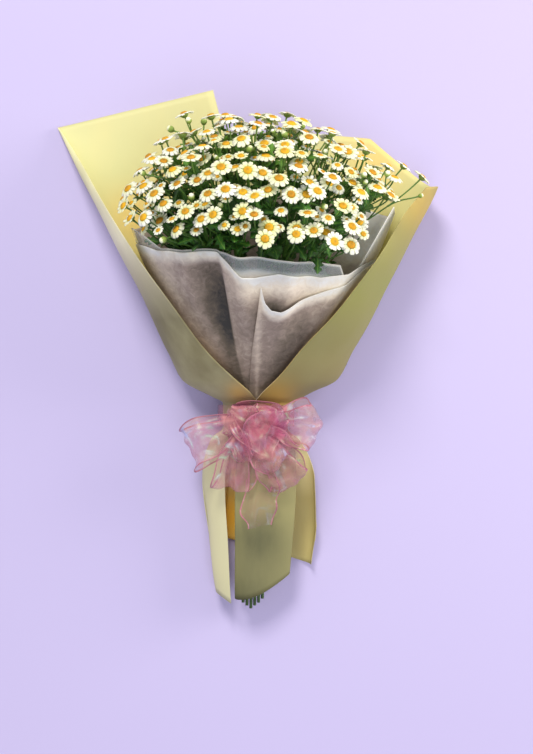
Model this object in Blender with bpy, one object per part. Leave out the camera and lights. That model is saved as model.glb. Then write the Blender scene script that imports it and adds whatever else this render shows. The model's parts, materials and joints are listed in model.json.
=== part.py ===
"""A bunch of chamomile in tissue and paper with an organza bow, lying on its back.

Every length is in millimetres until a mesh is made, where MM turns it to metres. X runs across the bunch,
Y runs from the cut stems to the flowers with 0 at the tie, and Z is up from the surface that it lies on.
The last step moves all pieces so that the origin is at the middle of the footprint.
"""
import math

import bmesh
import bpy
import numpy as np
from mathutils import Vector

MM = 0.001

# Driving dimensions
TIE_HEIGHT = 22.0
CUT_END_Y = -200.0
STEM_RADIUS = 1.5
STEM_PITCH = 3.6
STALK_RADIUS = 0.85
BLOOM_COUNT = 150
BLOOM_RADIUS = (9.0, 10.6)
PETALS = 6
LEAVES_PER_STEM = (2, 1)
LEAF_LENGTH = (32, 46)
HEAD_CENTRE = np.array([6.0, 150.0, 82.0])
HEAD_RADII = np.array([138.0, 124.0, 108.0])
PAPER_THICKNESS = 0.8
TISSUE_THICKNESS = 0.7
RIBBON_THICKNESS = 0.8
BUNCH_SEED = 7


# Curves and outlines

def smooth(x, stations, values):
    """Monotone cubic through the stations, flat beyond the first and last."""
    stations = np.asarray(stations, float)
    values = np.asarray(values, float)
    x = np.clip(np.asarray(x, float), stations[0], stations[-1])
    step = np.diff(stations)
    slope = np.diff(values) / step
    tangent = np.empty_like(values)
    tangent[0], tangent[-1] = slope[0], slope[-1]
    before, after = slope[:-1], slope[1:]
    same = before * after > 0
    tangent[1:-1] = np.where(same, 2 * before * after / np.where(same, before + after, 1), 0)
    i = np.clip(np.searchsorted(stations, x, side="right") - 1, 0, len(step) - 1)
    t = (x - stations[i]) / step[i]
    return (
        values[i] * (1 + 2 * t) * (1 - t) ** 2
        + values[i + 1] * t * t * (3 - 2 * t)
        + step[i] * (tangent[i] * t * (1 - t) ** 2 - tangent[i + 1] * t * t * (1 - t))
    )


def ramp(x, start, end):
    """0 before start, 1 after end, smooth between."""
    t = np.clip((np.asarray(x, float) - start) / (end - start), 0, 1)
    return t * t * (3 - 2 * t)


def rail(points, rows):
    """A smooth line in plan through the points, read at evenly shared rows."""
    points = np.asarray(points, float)
    station = np.arange(len(points))
    t = np.linspace(0, len(points) - 1, rows)
    return np.stack([smooth(t, station, points[:, 0]), smooth(t, station, points[:, 1])], axis=1)


def between(first, second, shares):
    """Rows of plan points shared out from one rail to another."""
    return first[:, None, :] * (1 - shares[None, :, None]) + second[:, None, :] * shares[None, :, None]


# The shape of the wrap: half widths, height of the side folds and rise of the front, along Y

PAPER_Y = (-200, -160, -110, -50, -30, -21, 2, 9, 24, 50, 100, 141, 190, 232, 277, 320)
PAPER_LEFT = (36, 43, 47, 54, 41, 32, 32, 43, 71, 83, 107, 128, 153, 175, 198, 219)
PAPER_RIGHT = (46, 55, 60, 56, 42, 32, 32, 43, 75, 90, 117, 138, 162, 182, 203, 220)
FOLD_LEFT = (16, 18, 20, 22, 22, 22, 22, 23, 26, 33, 41, 44, 36, 20, 3, 1)
FOLD_RIGHT = (12, 14, 17, 20, 22, 22, 22, 23, 26, 33, 41, 45, 45, 45, 45, 45)
RISE_LEFT = (20, 21, 22, 20, 17, 17, 17, 28, 44, 64, 100, 120, 108, 66, 25, 5)
RISE_RIGHT = (22, 23, 24, 21, 17, 17, 17, 27, 42, 60, 94, 112, 88, 50, 30, 10)
PAPER_FLOOR = (0.4, 0.4, 0.4, 0.6, 5.6, 8.0, 8.0, 5.6, 1.0, 0.4, 0.4, 0.4, 0.4, 0.4, 0.4, 0.4)
FLAT_BELOW = 0.3
PAPER_FRONT_POWER = 1.8
PAPER_BACK_POWER = 3.4

# The same for the tissue inside it
TISSUE_Y = (-45, -21, 2, 12, 26, 50, 100, 150, 200)
TISSUE_LEFT = (24, 20, 20, 26, 39, 58, 90, 114, 130)
TISSUE_RIGHT = (24, 20, 20, 26, 40, 60, 94, 121, 140)
TISSUE_SIDE = (22, 22, 22, 23, 26, 31, 40, 47, 52)
TISSUE_RISE = (12.5, 11.8, 11.8, 17, 29, 49, 86, 118, 128)
TISSUE_FLOOR = (9.8, 10.2, 10.2, 8.2, 5.4, 3.3, 3.2, 3.2, 3.2)
TISSUE_STATIONS = (-45, -21, 2, 12, 26, 50)
TISSUE_FRONT_POWER = 2.0
TISSUE_BACK_POWER = 3.0
TISSUE_EDGE_SHARE = 0.98
# Y where the layers draw in to the tie and where they part again
NECK = ((-44, -22), (4, 26))


class Shell:
    """One layer of the wrap: a cross-section that changes along Y, flat below and arched above.

    neck_width and neck_rise set the layer apart from the first one at the tie, and outside does so elsewhere.
    """

    def __init__(self, kind, neck_width=0.0, neck_rise=0.0, outside=0.0):
        self.kind = kind
        self.neck_width = neck_width
        self.neck_rise = neck_rise
        self.outside = outside

    def at_neck(self, y):
        """1 where the layers lie close together at the tie, 0 well away from it."""
        return ramp(y, *NECK[0]) * (1 - ramp(y, *NECK[1]))

    def half_width(self, x, y):
        """Distance from the middle to the fold on the side that x is on."""
        if self.kind == "paper":
            side = np.where(x < 0, smooth(y, PAPER_Y, PAPER_LEFT), smooth(y, PAPER_Y, PAPER_RIGHT))
        else:
            side = np.where(x < 0, smooth(y, TISSUE_Y, TISSUE_LEFT), smooth(y, TISSUE_Y, TISSUE_RIGHT))
        return side + self.outside + (self.neck_width - self.outside) * self.at_neck(y)

    def side_height(self, x, y):
        """Height of the side fold, where the back turns into the front."""
        if self.kind != "paper":
            return smooth(y, TISSUE_Y, TISSUE_SIDE)
        right = ramp(x, -20, 20)
        return smooth(y, PAPER_Y, FOLD_LEFT) * (1 - right) + smooth(y, PAPER_Y, FOLD_RIGHT) * right

    def front(self, x, y):
        if self.kind == "paper":
            right = ramp(x, -20, 20)
            rise = smooth(y, PAPER_Y, RISE_LEFT) * (1 - right) + smooth(y, PAPER_Y, RISE_RIGHT) * right
            power = PAPER_FRONT_POWER
        else:
            rise = smooth(y, TISSUE_Y, TISSUE_RISE)
            power = TISSUE_FRONT_POWER
        rise = rise + self.outside + (self.neck_rise - self.outside) * self.at_neck(y)
        share = np.clip(np.abs(x) / self.half_width(x, y), 0, 1)
        return self.side_height(x, y) + rise * (1 - share**power) ** (1 / power)

    def back(self, x, y):
        if self.kind == "paper":
            floor = smooth(y, PAPER_Y, PAPER_FLOOR)
            power = PAPER_BACK_POWER + (2 - PAPER_BACK_POWER) * self.at_neck(y)
        else:
            floor = smooth(y, TISSUE_Y, TISSUE_FLOOR)
            power = TISSUE_BACK_POWER + (2 - TISSUE_BACK_POWER) * self.at_neck(y)
        floor = floor - self.neck_rise * self.at_neck(y)
        share = np.clip(np.abs(x) / self.half_width(x, y), 0, 1)
        rise = (self.side_height(x, y) - floor) * (1 - (1 - share**power) ** (1 / power))
        return floor + np.where(rise < FLAT_BELOW, 0, rise - FLAT_BELOW)


LEFT_PAPER = Shell("paper")
BACK_PAPER = Shell("paper", neck_width=-4.0, neck_rise=-2.3)
RIGHT_PAPER = Shell("paper", neck_width=4.0, neck_rise=2.3, outside=2.4)
INNER_TISSUE = Shell("tissue", neck_width=-3.0, neck_rise=-1.6, outside=-2.2)
LEFT_TISSUE = Shell("tissue")
RIGHT_TISSUE = Shell("tissue", neck_width=3.0, neck_rise=1.6, outside=2.2)

# Outlines of the sheets in plan, from the skirt below the tie to the top edge

LEFT_BACK_EDGE = ((-30, -170), (-30, -120), (-20, -66), (2, -32), (6, -21), (8, 2), (10, 12), (12, 28),
                  (12, 56), (10, 116), (-8, 190), (-28, 258), (-43, 315))
LEFT_FRONT_EDGE = ((-24, -194), (-27, -134), (-30, -76), (-20, -34), (-8, -21), (2, 2), (-4, 12), (-22, 29),
                   (-48, 56), (-91, 114), (-138, 182), (-171, 238), (-196.4, 276))
LEFT_FOLD_Y = (-184, -130, -70, -33, -21, 2, 10, 26, 54, 114, 184, 236, 277)

BACK_LEFT_EDGE = ((-31, -132), (-30, -98), (-26, -64), (-22, -32), (-20, -21), (-20, 2), (-24, 12), (-34, 28),
                  (-40, 56), (-42, 120), (-38, 200), (-34, 268))
BACK_TOP = ((-34, 268), (40, 273), (114, 266), (174, 213))
BACK_FOLD_Y = (-158, -115, -70, -33, -21, 2, 10, 26, 54, 110, 165, 213)

RIGHT_FRONT_EDGE = ((-20, -188), (-20, -130), (-20, -76), (-16, -34), (-8, -21), (-2, 2), (5, 12), (21, 28),
                    (46, 57), (84, 100), (118, 145), (141, 184), (161, 209))
RIGHT_OUTER_EDGE = ((33, -164), (36, -128), (39, -80), (38, -34), (30, -21), (0, 2), (0, 10), (0, 26),
                    (0, 54), (0, 104), (0, 150), (0, 188), (0, 213))
# The strip in front is cut round at its foot, lower by this much in its middle
FOOT_ROUND = 9.0
# From this point of its outer edge on, the right sheet follows the fold and tucks a strip behind it
FOLLOWS_FOLD = 5
TUCK_SHARE = 0.06
# The back sheet lies on the left one as far as these two X
LAP = 1.5
LAP_X = (22, 60)


def back_columns(count):
    """Shares across a back panel, closer together where it rises to the side fold."""
    return np.sin(np.linspace(0, math.pi / 2, count))


def fold_line(shell, ys, side):
    """The side fold in plan, on the left for side -1 and on the right for side 1."""
    ys = np.asarray(ys, float)
    return np.stack([side * shell.half_width(np.full_like(ys, side), ys), ys], axis=1)


def left_paper_grid(rows, back_count, front_count):
    """From the hidden edge behind the stems, out to the left fold and over to the free front edge."""
    fold_rows = rail(fold_line(LEFT_PAPER, LEFT_FOLD_Y, -1), rows)
    back = between(rail(LEFT_BACK_EDGE, rows), fold_rows, back_columns(back_count))
    front = between(fold_rows, rail(LEFT_FRONT_EDGE, rows), 1 - back_columns(front_count)[::-1])
    back_points = np.dstack([back, LEFT_PAPER.back(back[..., 0], back[..., 1])])
    front_points = np.dstack([front, LEFT_PAPER.front(front[..., 0], front[..., 1])])
    return np.concatenate([back_points, front_points[:, 1:]], axis=1)


def back_paper_grid(rows, count):
    """Flat behind the bunch, rising to the fold on the right. Its top edge has three straight runs."""
    shares = back_columns(count)
    left = rail(BACK_LEFT_EDGE, rows)
    fold_rows = rail(fold_line(BACK_PAPER, BACK_FOLD_Y, 1), rows)
    plan = between(left, fold_rows, shares)
    top = np.asarray(BACK_TOP, float)
    straight = left[-1] * (1 - shares[:, None]) + fold_rows[-1] * shares[:, None]
    edge_y = np.interp(straight[:, 0], top[:, 0], top[:, 1])
    upper = ramp(np.linspace(0, 1, rows), 0.55, 1.0)
    plan[..., 1] += upper[:, None] * (edge_y - straight[:, 1])[None, :]
    z = BACK_PAPER.back(plan[..., 0], plan[..., 1])
    over_left_paper = LAP * (1 - ramp(plan[..., 0], *LAP_X)) * (1 - BACK_PAPER.at_neck(plan[..., 1]))
    return np.dstack([plan, z + over_left_paper])


def right_paper_grid(rows, under_count, front_count):
    """From behind the right fold over to the free front edge, and below the tie the wide strip in front."""
    edge = np.array(RIGHT_OUTER_EDGE, float)
    edge[FOLLOWS_FOLD:, 0] = fold_line(RIGHT_PAPER, edge[FOLLOWS_FOLD:, 1], 1)[:, 0]
    fold_rows, free_rows = rail(edge, rows), rail(RIGHT_FRONT_EDGE, rows)
    shares = np.linspace(0, 1, under_count + front_count)
    strip = between(fold_rows, free_rows, shares)
    at_foot = 1 - ramp(strip[..., 1], CUT_END_Y, CUT_END_Y + 70)
    strip[..., 1] -= FOOT_ROUND * at_foot * np.sin(math.pi * shares) ** 0.7
    strip = np.dstack([strip, RIGHT_PAPER.front(strip[..., 0], strip[..., 1])])
    wing = between(fold_rows, free_rows, 1 - back_columns(front_count)[::-1])
    wing = np.dstack([wing, RIGHT_PAPER.front(wing[..., 0], wing[..., 1])])
    x = fold_rows[:, :1] * (1 - TUCK_SHARE * np.linspace(1, 0, under_count, endpoint=False) ** 2)[None, :]
    y = np.repeat(fold_rows[:, 1:], under_count, axis=1)
    wing = np.concatenate([np.dstack([x, y, RIGHT_PAPER.back(x, y)]), wing], axis=1)
    above_tie = ramp(fold_rows[:, 1], 2, NECK[1][1])[:, None, None]
    return strip * (1 - above_tie) + wing * above_tie


# Top edges of the tissue sheets: share of the half width, and Y

LEFT_TISSUE_TOP = ((-1.0, 156), (-0.8, 145), (-0.32, 138), (-0.12, 121), (0.0, 118), (0.2, 122), (0.4, 119),
                   (0.58, 118), (0.8, 124), (0.98, 141))
RIGHT_TISSUE_TOP = ((0.0, 110), (0.06, 96), (0.14, 89), (0.24, 88), (0.38, 94), (0.58, 104), (0.8, 115),
                    (0.98, 141))
RIGHT_TISSUE_FOLD = ((-9, -45), (-9, 0), (-7, 13), (-3.5, 50), (2, 85), (5.6, 110))
INNER_FRONT_TOP = ((-1.0, 172), (-0.78, 147), (-0.3, 140), (0.2, 134), (0.5, 131), (0.72, 131), (0.8, 120),
                   (0.87, 124), (0.93, 165), (0.97, 190), (1.0, 184))
INNER_BACK_TOP = ((-1.0, 172), (-0.5, 200), (0.0, 210), (0.6, 205), (1.0, 184))
# Where the right sheet's top edge dips it stands off the one below
DIP_STAND_OFF = 9.0
DIP_SHARE = 0.2
DIP_SPREAD = 0.3
DIP_Y = (45, 95)


def tissue_shares(columns):
    """Shares from -1 to 1, closer together at the sides where the tissue turns to the back."""
    return np.sin(np.linspace(-math.pi / 2, math.pi / 2, columns))


def tissue_rows(shares, top, rows):
    """Y of each row: the same stations in every sheet near the tie, then shared out up to the top edge."""
    top_y = np.interp(shares, [p[0] for p in top], [p[1] for p in top])
    last = TISSUE_STATIONS[-1]
    station = np.arange(len(TISSUE_STATIONS))
    fixed = smooth(np.linspace(0, station[-1], rows[0]), station, TISSUE_STATIONS)
    upper = last + (top_y - last)[None, :] * (np.arange(1, rows[1] + 1) / rows[1])[:, None]
    return np.concatenate([np.repeat(fixed[:, None], len(top_y), axis=1), upper])


def tissue_plan(shell, shares, top, rows):
    """Plan points of a sheet whose columns keep their share of the half width up to the top edge."""
    y = tissue_rows(shares, top, rows)
    return shares[None, :] * shell.half_width(shares[None, :], y), y


def left_tissue_grid(rows, columns):
    """The sheet across the whole front, under the right one."""
    x, y = tissue_plan(LEFT_TISSUE, tissue_shares(columns) * TISSUE_EDGE_SHARE, LEFT_TISSUE_TOP, rows)
    return np.dstack([x, y, LEFT_TISSUE.front(x, y)])


def right_tissue_grid(rows, columns):
    """The sheet that laps over the left one, with a folded edge and a top edge that stands off at its dip."""
    across = back_columns(columns)
    y = tissue_rows(across * TISSUE_EDGE_SHARE, RIGHT_TISSUE_TOP, rows)
    edge = smooth(y, [p[1] for p in RIGHT_TISSUE_FOLD], [p[0] for p in RIGHT_TISSUE_FOLD])
    x = edge + (TISSUE_EDGE_SHARE * RIGHT_TISSUE.half_width(np.ones_like(y), y) - edge) * across[None, :]
    near_top = ramp(y, *DIP_Y)
    at_dip = np.exp(-(((across - DIP_SHARE) / DIP_SPREAD) ** 2))[None, :]
    return np.dstack([x, y, RIGHT_TISSUE.front(x, y) + DIP_STAND_OFF * near_top * at_dip])


def inner_tissue_grid(rows, columns):
    """A cone right round the bunch: across the front from left to right, then back behind it."""
    x, y = tissue_plan(INNER_TISSUE, tissue_shares(columns), INNER_FRONT_TOP, rows)
    front = np.dstack([x, y, INNER_TISSUE.front(x, y)])
    x, y = tissue_plan(INNER_TISSUE, tissue_shares(columns - 2)[::-1][1:-1], INNER_BACK_TOP, rows)
    back = np.dstack([x, y, INNER_TISSUE.back(x, y)])
    return np.concatenate([front, back], axis=1)


# Meshes

SHARP_ANGLE = math.radians(40)


def new_piece(name, vertices, faces, material):
    mesh = bpy.data.meshes.new(name)
    mesh.from_pydata([tuple(v) for v in np.asarray(vertices, float) * MM], [], [tuple(f) for f in faces])
    mesh.materials.append(material)
    shape = bmesh.new()
    shape.from_mesh(mesh)
    bmesh.ops.recalc_face_normals(shape, faces=shape.faces)
    shape.to_mesh(mesh)
    shape.free()
    mesh.shade_smooth()
    mesh.set_sharp_from_angle(angle=SHARP_ANGLE)
    piece = bpy.data.objects.new(name, mesh)
    bpy.context.scene.collection.objects.link(piece)
    return piece


def grid_normals(grid, closed):
    if closed:
        wide = np.concatenate([grid[:, -1:], grid, grid[:, :1]], axis=1)
        across = wide[:, 2:] - wide[:, :-2]
    else:
        across = np.gradient(grid, axis=1)
    along = np.gradient(grid, axis=0)
    normal = np.cross(across, along)
    return normal / np.linalg.norm(normal, axis=2, keepdims=True)


def sheet_solid(name, grid, thickness, material, closed=False):
    """A thin solid on both sides of a grid of points, split into triangles alike on both faces."""
    rows, columns, _ = grid.shape
    offset = grid_normals(grid, closed) * thickness / 2
    vertices = np.concatenate([(grid + offset).reshape(-1, 3), (grid - offset).reshape(-1, 3)])
    under = rows * columns
    last = columns if closed else columns - 1
    faces = []
    for r in range(rows - 1):
        for c in range(last):
            a, b = r * columns + c, r * columns + (c + 1) % columns
            d, e = a + columns, b + columns
            faces += [(a, b, e), (a, e, d)]
            faces += [(under + a, under + e, under + b), (under + a, under + d, under + e)]
    rim = [(0, c, 0, (c + 1) % columns) for c in range(last)]
    rim += [(rows - 1, (c + 1) % columns, rows - 1, c) for c in range(last)]
    if not closed:
        rim += [(r + 1, 0, r, 0) for r in range(rows - 1)]
        rim += [(r, columns - 1, r + 1, columns - 1) for r in range(rows - 1)]
    for r1, c1, r2, c2 in rim:
        a, b = r1 * columns + c1, r2 * columns + c2
        faces += [(a, under + b, b), (a, under + a, under + b)]
    return new_piece(name, vertices, faces, material)


def tube_mesh(path, radii, sides):
    """Vertices and faces of a tube along a path, with flat ends."""
    path = np.asarray(path, float)
    along = np.gradient(path, axis=0)
    along /= np.linalg.norm(along, axis=1, keepdims=True)
    side = np.cross(along[0], (0.0, 0.0, 1.0) if abs(along[0][2]) < 0.9 else (1.0, 0.0, 0.0))
    vertices = []
    for point, direction, radius in zip(path, along, radii):
        side = side - direction * (side @ direction)
        side /= np.linalg.norm(side)
        other = np.cross(direction, side)
        for k in range(sides):
            turn = 2 * math.pi * k / sides
            vertices.append(point + radius * (math.cos(turn) * side + math.sin(turn) * other))
    faces = [tuple(range(sides))[::-1]]
    for ring in range(len(path) - 1):
        for k in range(sides):
            a, b = ring * sides + k, ring * sides + (k + 1) % sides
            faces.append((a, b, b + sides, a + sides))
    faces.append(tuple(range((len(path) - 1) * sides, len(path) * sides)))
    return vertices, faces


# The plan of the bunch: where each stem, bloom and leaf grows

# Height above the middle of the tie, number of stems and lean of their share of the dome, for each row
STEM_ROWS = ((4.8, 5, 16), (1.6, 7, 40), (-1.6, 7, 66), (-4.8, 5, 92))
STEM_SWING = math.radians(17.5)
ROW_SWING = math.radians(4)
STEM_TIP_DEPTH = 40.0
# Straight run through the tie, from below it to above it
TIE_RUN = (-5.0, 5.0)
# The outer stems and every second row are cut a little shorter, by these lengths
CUT_SLOPE = 0.8
CUT_STEP = 2.4
# Towards the cut ends the stems spread by this share and lean over by these lengths
CUT_SPREAD = 0.06
CUT_LEAN = (-5.0, -6.0)
STALK_REACH = 0.36
STALK_SLANT = 0.6
STALK_SPAN = 1.3
STALK_DEPTH = 2.6
STRAIGHT_ENOUGH = 3.0
# Blooms look outwards from the dome and towards its top, by these shares
OUTWARD = 0.8
TOPWARD = (0, 0.42, 0.12)
TILT_SEEN = 0.12
TILT_THROWN = 0.2
LOWEST_BLOOM = 24.0
NEAREST_BLOOM_Y = 128.0
# Gaps in plan that thrown blooms stay out of: X from and to, Y from and to. The last is the bare corner
# of the tissue on the right.
GAPS = ((-38, 6, 120, 158), (60, 86, 172, 192), (98, 160, 120, 197))
LEAF_BALL = 2.6
LOWEST_LEAF_Y = 80.0
LEAF_TRIES = 120
WALL_GAP = 3.0
THING_GAP = 0.4
# Blooms whose places were measured, in plan. The rest are thrown at random with a fixed seed.
SEEN_BLOOMS = (
    (89, 145), (86, 161), (70, 147), (52, 156), (35, 152), (51, 129), (9, 148), (13, 159), (78, 179),
    (95, 193), (93, 184), (124, 194), (157, 216), (32, 188), (53, 189), (41, 182), (69, 205), (107, 214),
    (117, 213), (75, 234), (49, 244), (33, 258), (16, 267), (30, 275), (-124, 196), (-101, 201),
    (-113, 172), (-109, 157), (-81, 182), (-86, 190), (-69, 200), (-70, 210), (-75, 217), (-41, 208),
    (-28, 210), (-47, 200), (-41, 189), (-24, 190), (-11, 192), (-61, 174), (-52, 169), (-36, 170),
    (-29, 175), (-11, 174), (-44, 160), (-15, 163), (0, 168), (-54, 150), (-44, 141), (-24, 264),
    (-33, 258), (-44, 251), (-55, 246), (-12, 241), (-89, 249), (-67, 275), (140, 227), (150, 223),
    (133, 214), (144, 212), (125, 226), (-115, 183), (-108, 222), (-100, 235),
)


def bezier(a, b, c, d, count):
    t = np.linspace(0, 1, count)[:, None]
    return a * (1 - t) ** 3 + 3 * b * t * (1 - t) ** 2 + 3 * c * t * t * (1 - t) + d * t**3


def unit(v):
    return v / np.linalg.norm(v)


def dense(path, step=2.5):
    """Points along a line of straight runs, no further apart than the step."""
    runs = []
    for a, b in zip(path[:-1], path[1:]):
        count = max(1, int(np.linalg.norm(b - a) / step))
        runs.append(a + (b - a) * np.linspace(0, 1, count, endpoint=False)[:, None])
    return np.concatenate(runs + [path[-1:]])


def dome_direction(swing, lean):
    """Straight up where both angles are 0. Lean tips it towards the top of the flowers, swing to one side."""
    return np.array([math.sin(swing), math.cos(swing) * math.sin(lean), math.cos(swing) * math.cos(lean)])


def dome_point(direction, depth=0.0):
    """The point of the flower head's dome in a direction, or that far below it."""
    surface = HEAD_RADII * direction
    return HEAD_CENTRE + surface * (1 - depth / np.linalg.norm(surface))


def over_plan(x, y, depth):
    """The point of the dome above a place in plan, and its direction."""
    share = (np.array([x, y]) - HEAD_CENTRE[:2]) / HEAD_RADII[:2]
    direction = unit(np.append(share, math.sqrt(max(0.0, 1 - share @ share))))
    if share @ share > 1:
        return np.array([x, y, HEAD_CENTRE[2] + 4 - depth]), direction
    return dome_point(direction, depth), direction


def main_stems():
    """One path for each stem, from its cut end through its place in the tie to its share of the dome."""
    stems = []
    for row, (height, count, lean) in enumerate(STEM_ROWS):
        for k in range(count):
            place = k - (count - 1) / 2
            across = place * STEM_PITCH
            direction = dome_direction(STEM_SWING * place + ROW_SWING * (row % 2), math.radians(lean))
            low = np.array([across, TIE_RUN[0], TIE_HEIGHT + height])
            high = np.array([across, TIE_RUN[1], TIE_HEIGHT + height])
            cut_y = CUT_END_Y + CUT_SLOPE * abs(across) + CUT_STEP * (row % 2)
            aside = across * (1 + CUT_SPREAD) + CUT_LEAN[0]
            cut = np.array([aside, cut_y, low[2] + height * CUT_SPREAD + CUT_LEAN[1]])
            tip = dome_point(direction, STEM_TIP_DEPTH)
            onward = unit(np.array([across * 1.3, 30.0, 1.5 + height]))
            upper = bezier(high, high + onward * 55, tip - unit(tip - high) * STEM_TIP_DEPTH, tip, 13)
            stems.append({"direction": direction, "lower": np.array([cut, low]), "upper": upper})
    return stems


def obstacle_points():
    """Points close together on all the sheets near the head, which nothing that grows may touch."""
    grids = [left_paper_grid(90, 34, 30), back_paper_grid(90, 50), right_paper_grid(90, 10, 40),
             left_tissue_grid((16, 34), 60), right_tissue_grid((16, 34), 40), inner_tissue_grid((16, 34), 60)]
    points = np.concatenate([g.reshape(-1, 3) for g in grids])
    return points[points[:, 1] > 20]


class Space:
    """Keeps what has grown so far as balls, and says whether a new piece would come too near."""

    LARGEST = 16

    def __init__(self, walls):
        self.walls = walls
        self.centres = np.zeros((0, 3))
        self.radii = np.zeros(0)
        self.owners = np.zeros(0, int)

    def free(self, centres, radii, owner=-1):
        """Whether the balls stay clear of the sheets and of all that belongs to other owners."""
        low, high = centres.min(0) - self.LARGEST, centres.max(0) + self.LARGEST
        near = ((self.walls > low) & (self.walls < high)).all(1)
        if near.any():
            apart = np.linalg.norm(self.walls[near][None] - centres[:, None], axis=2) - radii[:, None]
            if apart.min() < WALL_GAP:
                return False
        near = ((self.centres > low) & (self.centres < high)).all(1) & (self.owners != owner)
        if not near.any():
            return True
        apart = np.linalg.norm(self.centres[near][None] - centres[:, None], axis=2)
        return bool((apart - radii[:, None] - self.radii[near][None]).min() > THING_GAP)

    def add(self, centres, radii, owner):
        self.centres = np.concatenate([self.centres, centres])
        self.radii = np.concatenate([self.radii, np.broadcast_to(radii, len(centres))])
        self.owners = np.concatenate([self.owners, np.full(len(centres), owner)])


def bloom_balls(centre, axis, radius):
    """Balls that cover a bloom's disc and its ring of petals."""
    side = unit(np.cross(axis, (0.3, 0.9, 0.2)))
    other = np.cross(axis, side)
    points, radii = [centre], [4.2]
    for share, count in ((0.5, 6), (0.88, 11)):
        for k in range(count):
            turn = 2 * math.pi * k / count
            points.append(centre + radius * share * (math.cos(turn) * side + math.sin(turn) * other))
            radii.append(2.3)
    return np.array(points), np.array(radii)


def stalk_path(stem, share, base, axis, count):
    """The stalk of one bloom: it leaves its stem at a slant and comes up behind the bloom."""
    upper = stem["upper"]
    at = share * (len(upper) - 1)
    i = min(int(at), len(upper) - 2)
    start = upper[i] + (upper[i + 1] - upper[i]) * (at - i)
    onward = unit(unit(upper[i + 1] - upper[i]) + STALK_SLANT * unit(base - start))
    reach = np.linalg.norm(base - start) * STALK_REACH
    return bezier(start, start + onward * reach, base - axis * reach, base, count)


def coarse(path):
    """The stalk as it is modelled: straight, or with one bend where it curves more than a little."""
    bend = np.linalg.norm(path[len(path) // 2] - (path[0] + path[-1]) / 2)
    return path[[0, -1]] if bend < STRAIGHT_ENOUGH else path[[0, len(path) // 2, -1]]


def try_bloom(centre, direction, lean, radius, spin, stems, directions, space):
    """Keeps the bloom if it and its stalk have room, on the stem whose share of the dome it is nearest."""
    axis = unit(unit(direction / HEAD_RADII) * OUTWARD + np.array(TOPWARD) + lean)
    nearness = directions @ direction
    for owner in np.argsort(-nearness)[:3]:
        aside = math.acos(min(1.0, float(nearness[owner])))
        share = float(np.clip(1.0 - aside * STALK_SPAN, 0.5, 1.0))
        path = stalk_path(stems[owner], share, centre - axis * STALK_DEPTH, axis, 21)
        balls, radii = bloom_balls(centre, axis, radius)
        if not space.free(balls, radii):
            return None
        stalk = np.concatenate([dense(path), dense(coarse(path))])
        clear_of_stem = np.linalg.norm(stalk - path[0], axis=1) > 4.0
        if not space.free(stalk[clear_of_stem], np.full(clear_of_stem.sum(), 1.3), owner):
            continue
        space.add(balls, radii, owner)
        space.add(stalk[np.linalg.norm(stalk - path[-1], axis=1) > 3.0], 1.3, owner)
        return {"centre": centre, "axis": axis, "radius": radius, "spin": spin, "stem": int(owner),
                "path": path}
    return None


def grow_blooms(stems, space):
    """First the blooms whose places are known, then blooms thrown at the dome where they have room."""
    rng = np.random.default_rng(BUNCH_SEED)
    directions = np.array([s["direction"] for s in stems])
    blooms = []
    for x, y in SEEN_BLOOMS:
        for depth in (0, 5, -5, 10):
            centre, direction = over_plan(x, y, depth)
            bloom = try_bloom(centre, direction, rng.normal(0, TILT_SEEN, 3), rng.uniform(*BLOOM_RADIUS),
                              rng.uniform(0, math.tau), stems, directions, space)
            if bloom:
                blooms.append(bloom)
                break
    for _ in range(80 * BLOOM_COUNT):
        if len(blooms) == BLOOM_COUNT:
            break
        direction = dome_direction(math.asin(rng.uniform(-0.97, 0.97)), math.radians(rng.uniform(-6, 112)))
        depth = rng.choice([-4.0, 3.0, 10.0, 18.0]) + rng.uniform(-3, 3)
        centre = dome_point(direction, depth)
        in_gap = any(a < centre[0] < b and c < centre[1] < d for a, b, c, d in GAPS)
        if centre[2] < LOWEST_BLOOM or centre[1] < NEAREST_BLOOM_Y or in_gap:
            continue
        bloom = try_bloom(centre, direction, rng.normal(0, TILT_THROWN, 3), rng.uniform(*BLOOM_RADIUS),
                          rng.uniform(0, math.tau), stems, directions, space)
        if bloom:
            blooms.append(bloom)
    return blooms


def leaf_frame(stem, share, turn, splay):
    """Where a leaf leaves its stem, the way it runs and the way its upper face looks."""
    upper = stem["upper"]
    i = int(share * (len(upper) - 2))
    onward = unit(upper[i + 1] - upper[i])
    side = unit(np.cross(onward, (0.2, 0.1, 1.0)))
    out = math.cos(turn) * side + math.sin(turn) * np.cross(onward, side)
    run = unit(onward * math.cos(splay) + out * math.sin(splay))
    face = unit(np.cross(np.cross(run, onward), run))
    return upper[i], run, face


def grow_leaves(stems, space):
    """One or two leaves on each stem, where they have room."""
    rng = np.random.default_rng(BUNCH_SEED + 1)
    leaves = []
    for owner, stem in enumerate(stems):
        kept = 0
        for _ in range(LEAF_TRIES):
            share, turn, splay = rng.uniform((0.4, 0, 0.5), (0.95, math.tau, 1.1))
            start, run, face = leaf_frame(stem, share, turn, splay)
            length = rng.uniform(*LEAF_LENGTH)
            spine = start + run * np.linspace(0.24, 1.0, 9)[:, None] * length
            width = np.cross(run, face) * length
            balls = np.concatenate([spine, spine + width * 0.1, spine - width * 0.1,
                                    spine[1:7] + width * 0.2, spine[1:7] - width * 0.2])
            if spine[:, 1].min() < LOWEST_LEAF_Y or not space.free(balls, np.full(len(balls), LEAF_BALL)):
                continue
            space.add(balls, LEAF_BALL, owner)
            leaves.append({"start": start, "run": run, "face": face, "length": length, "stem": owner})
            kept += 1
            if kept == LEAVES_PER_STEM[owner % 2]:
                break
    return leaves


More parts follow.
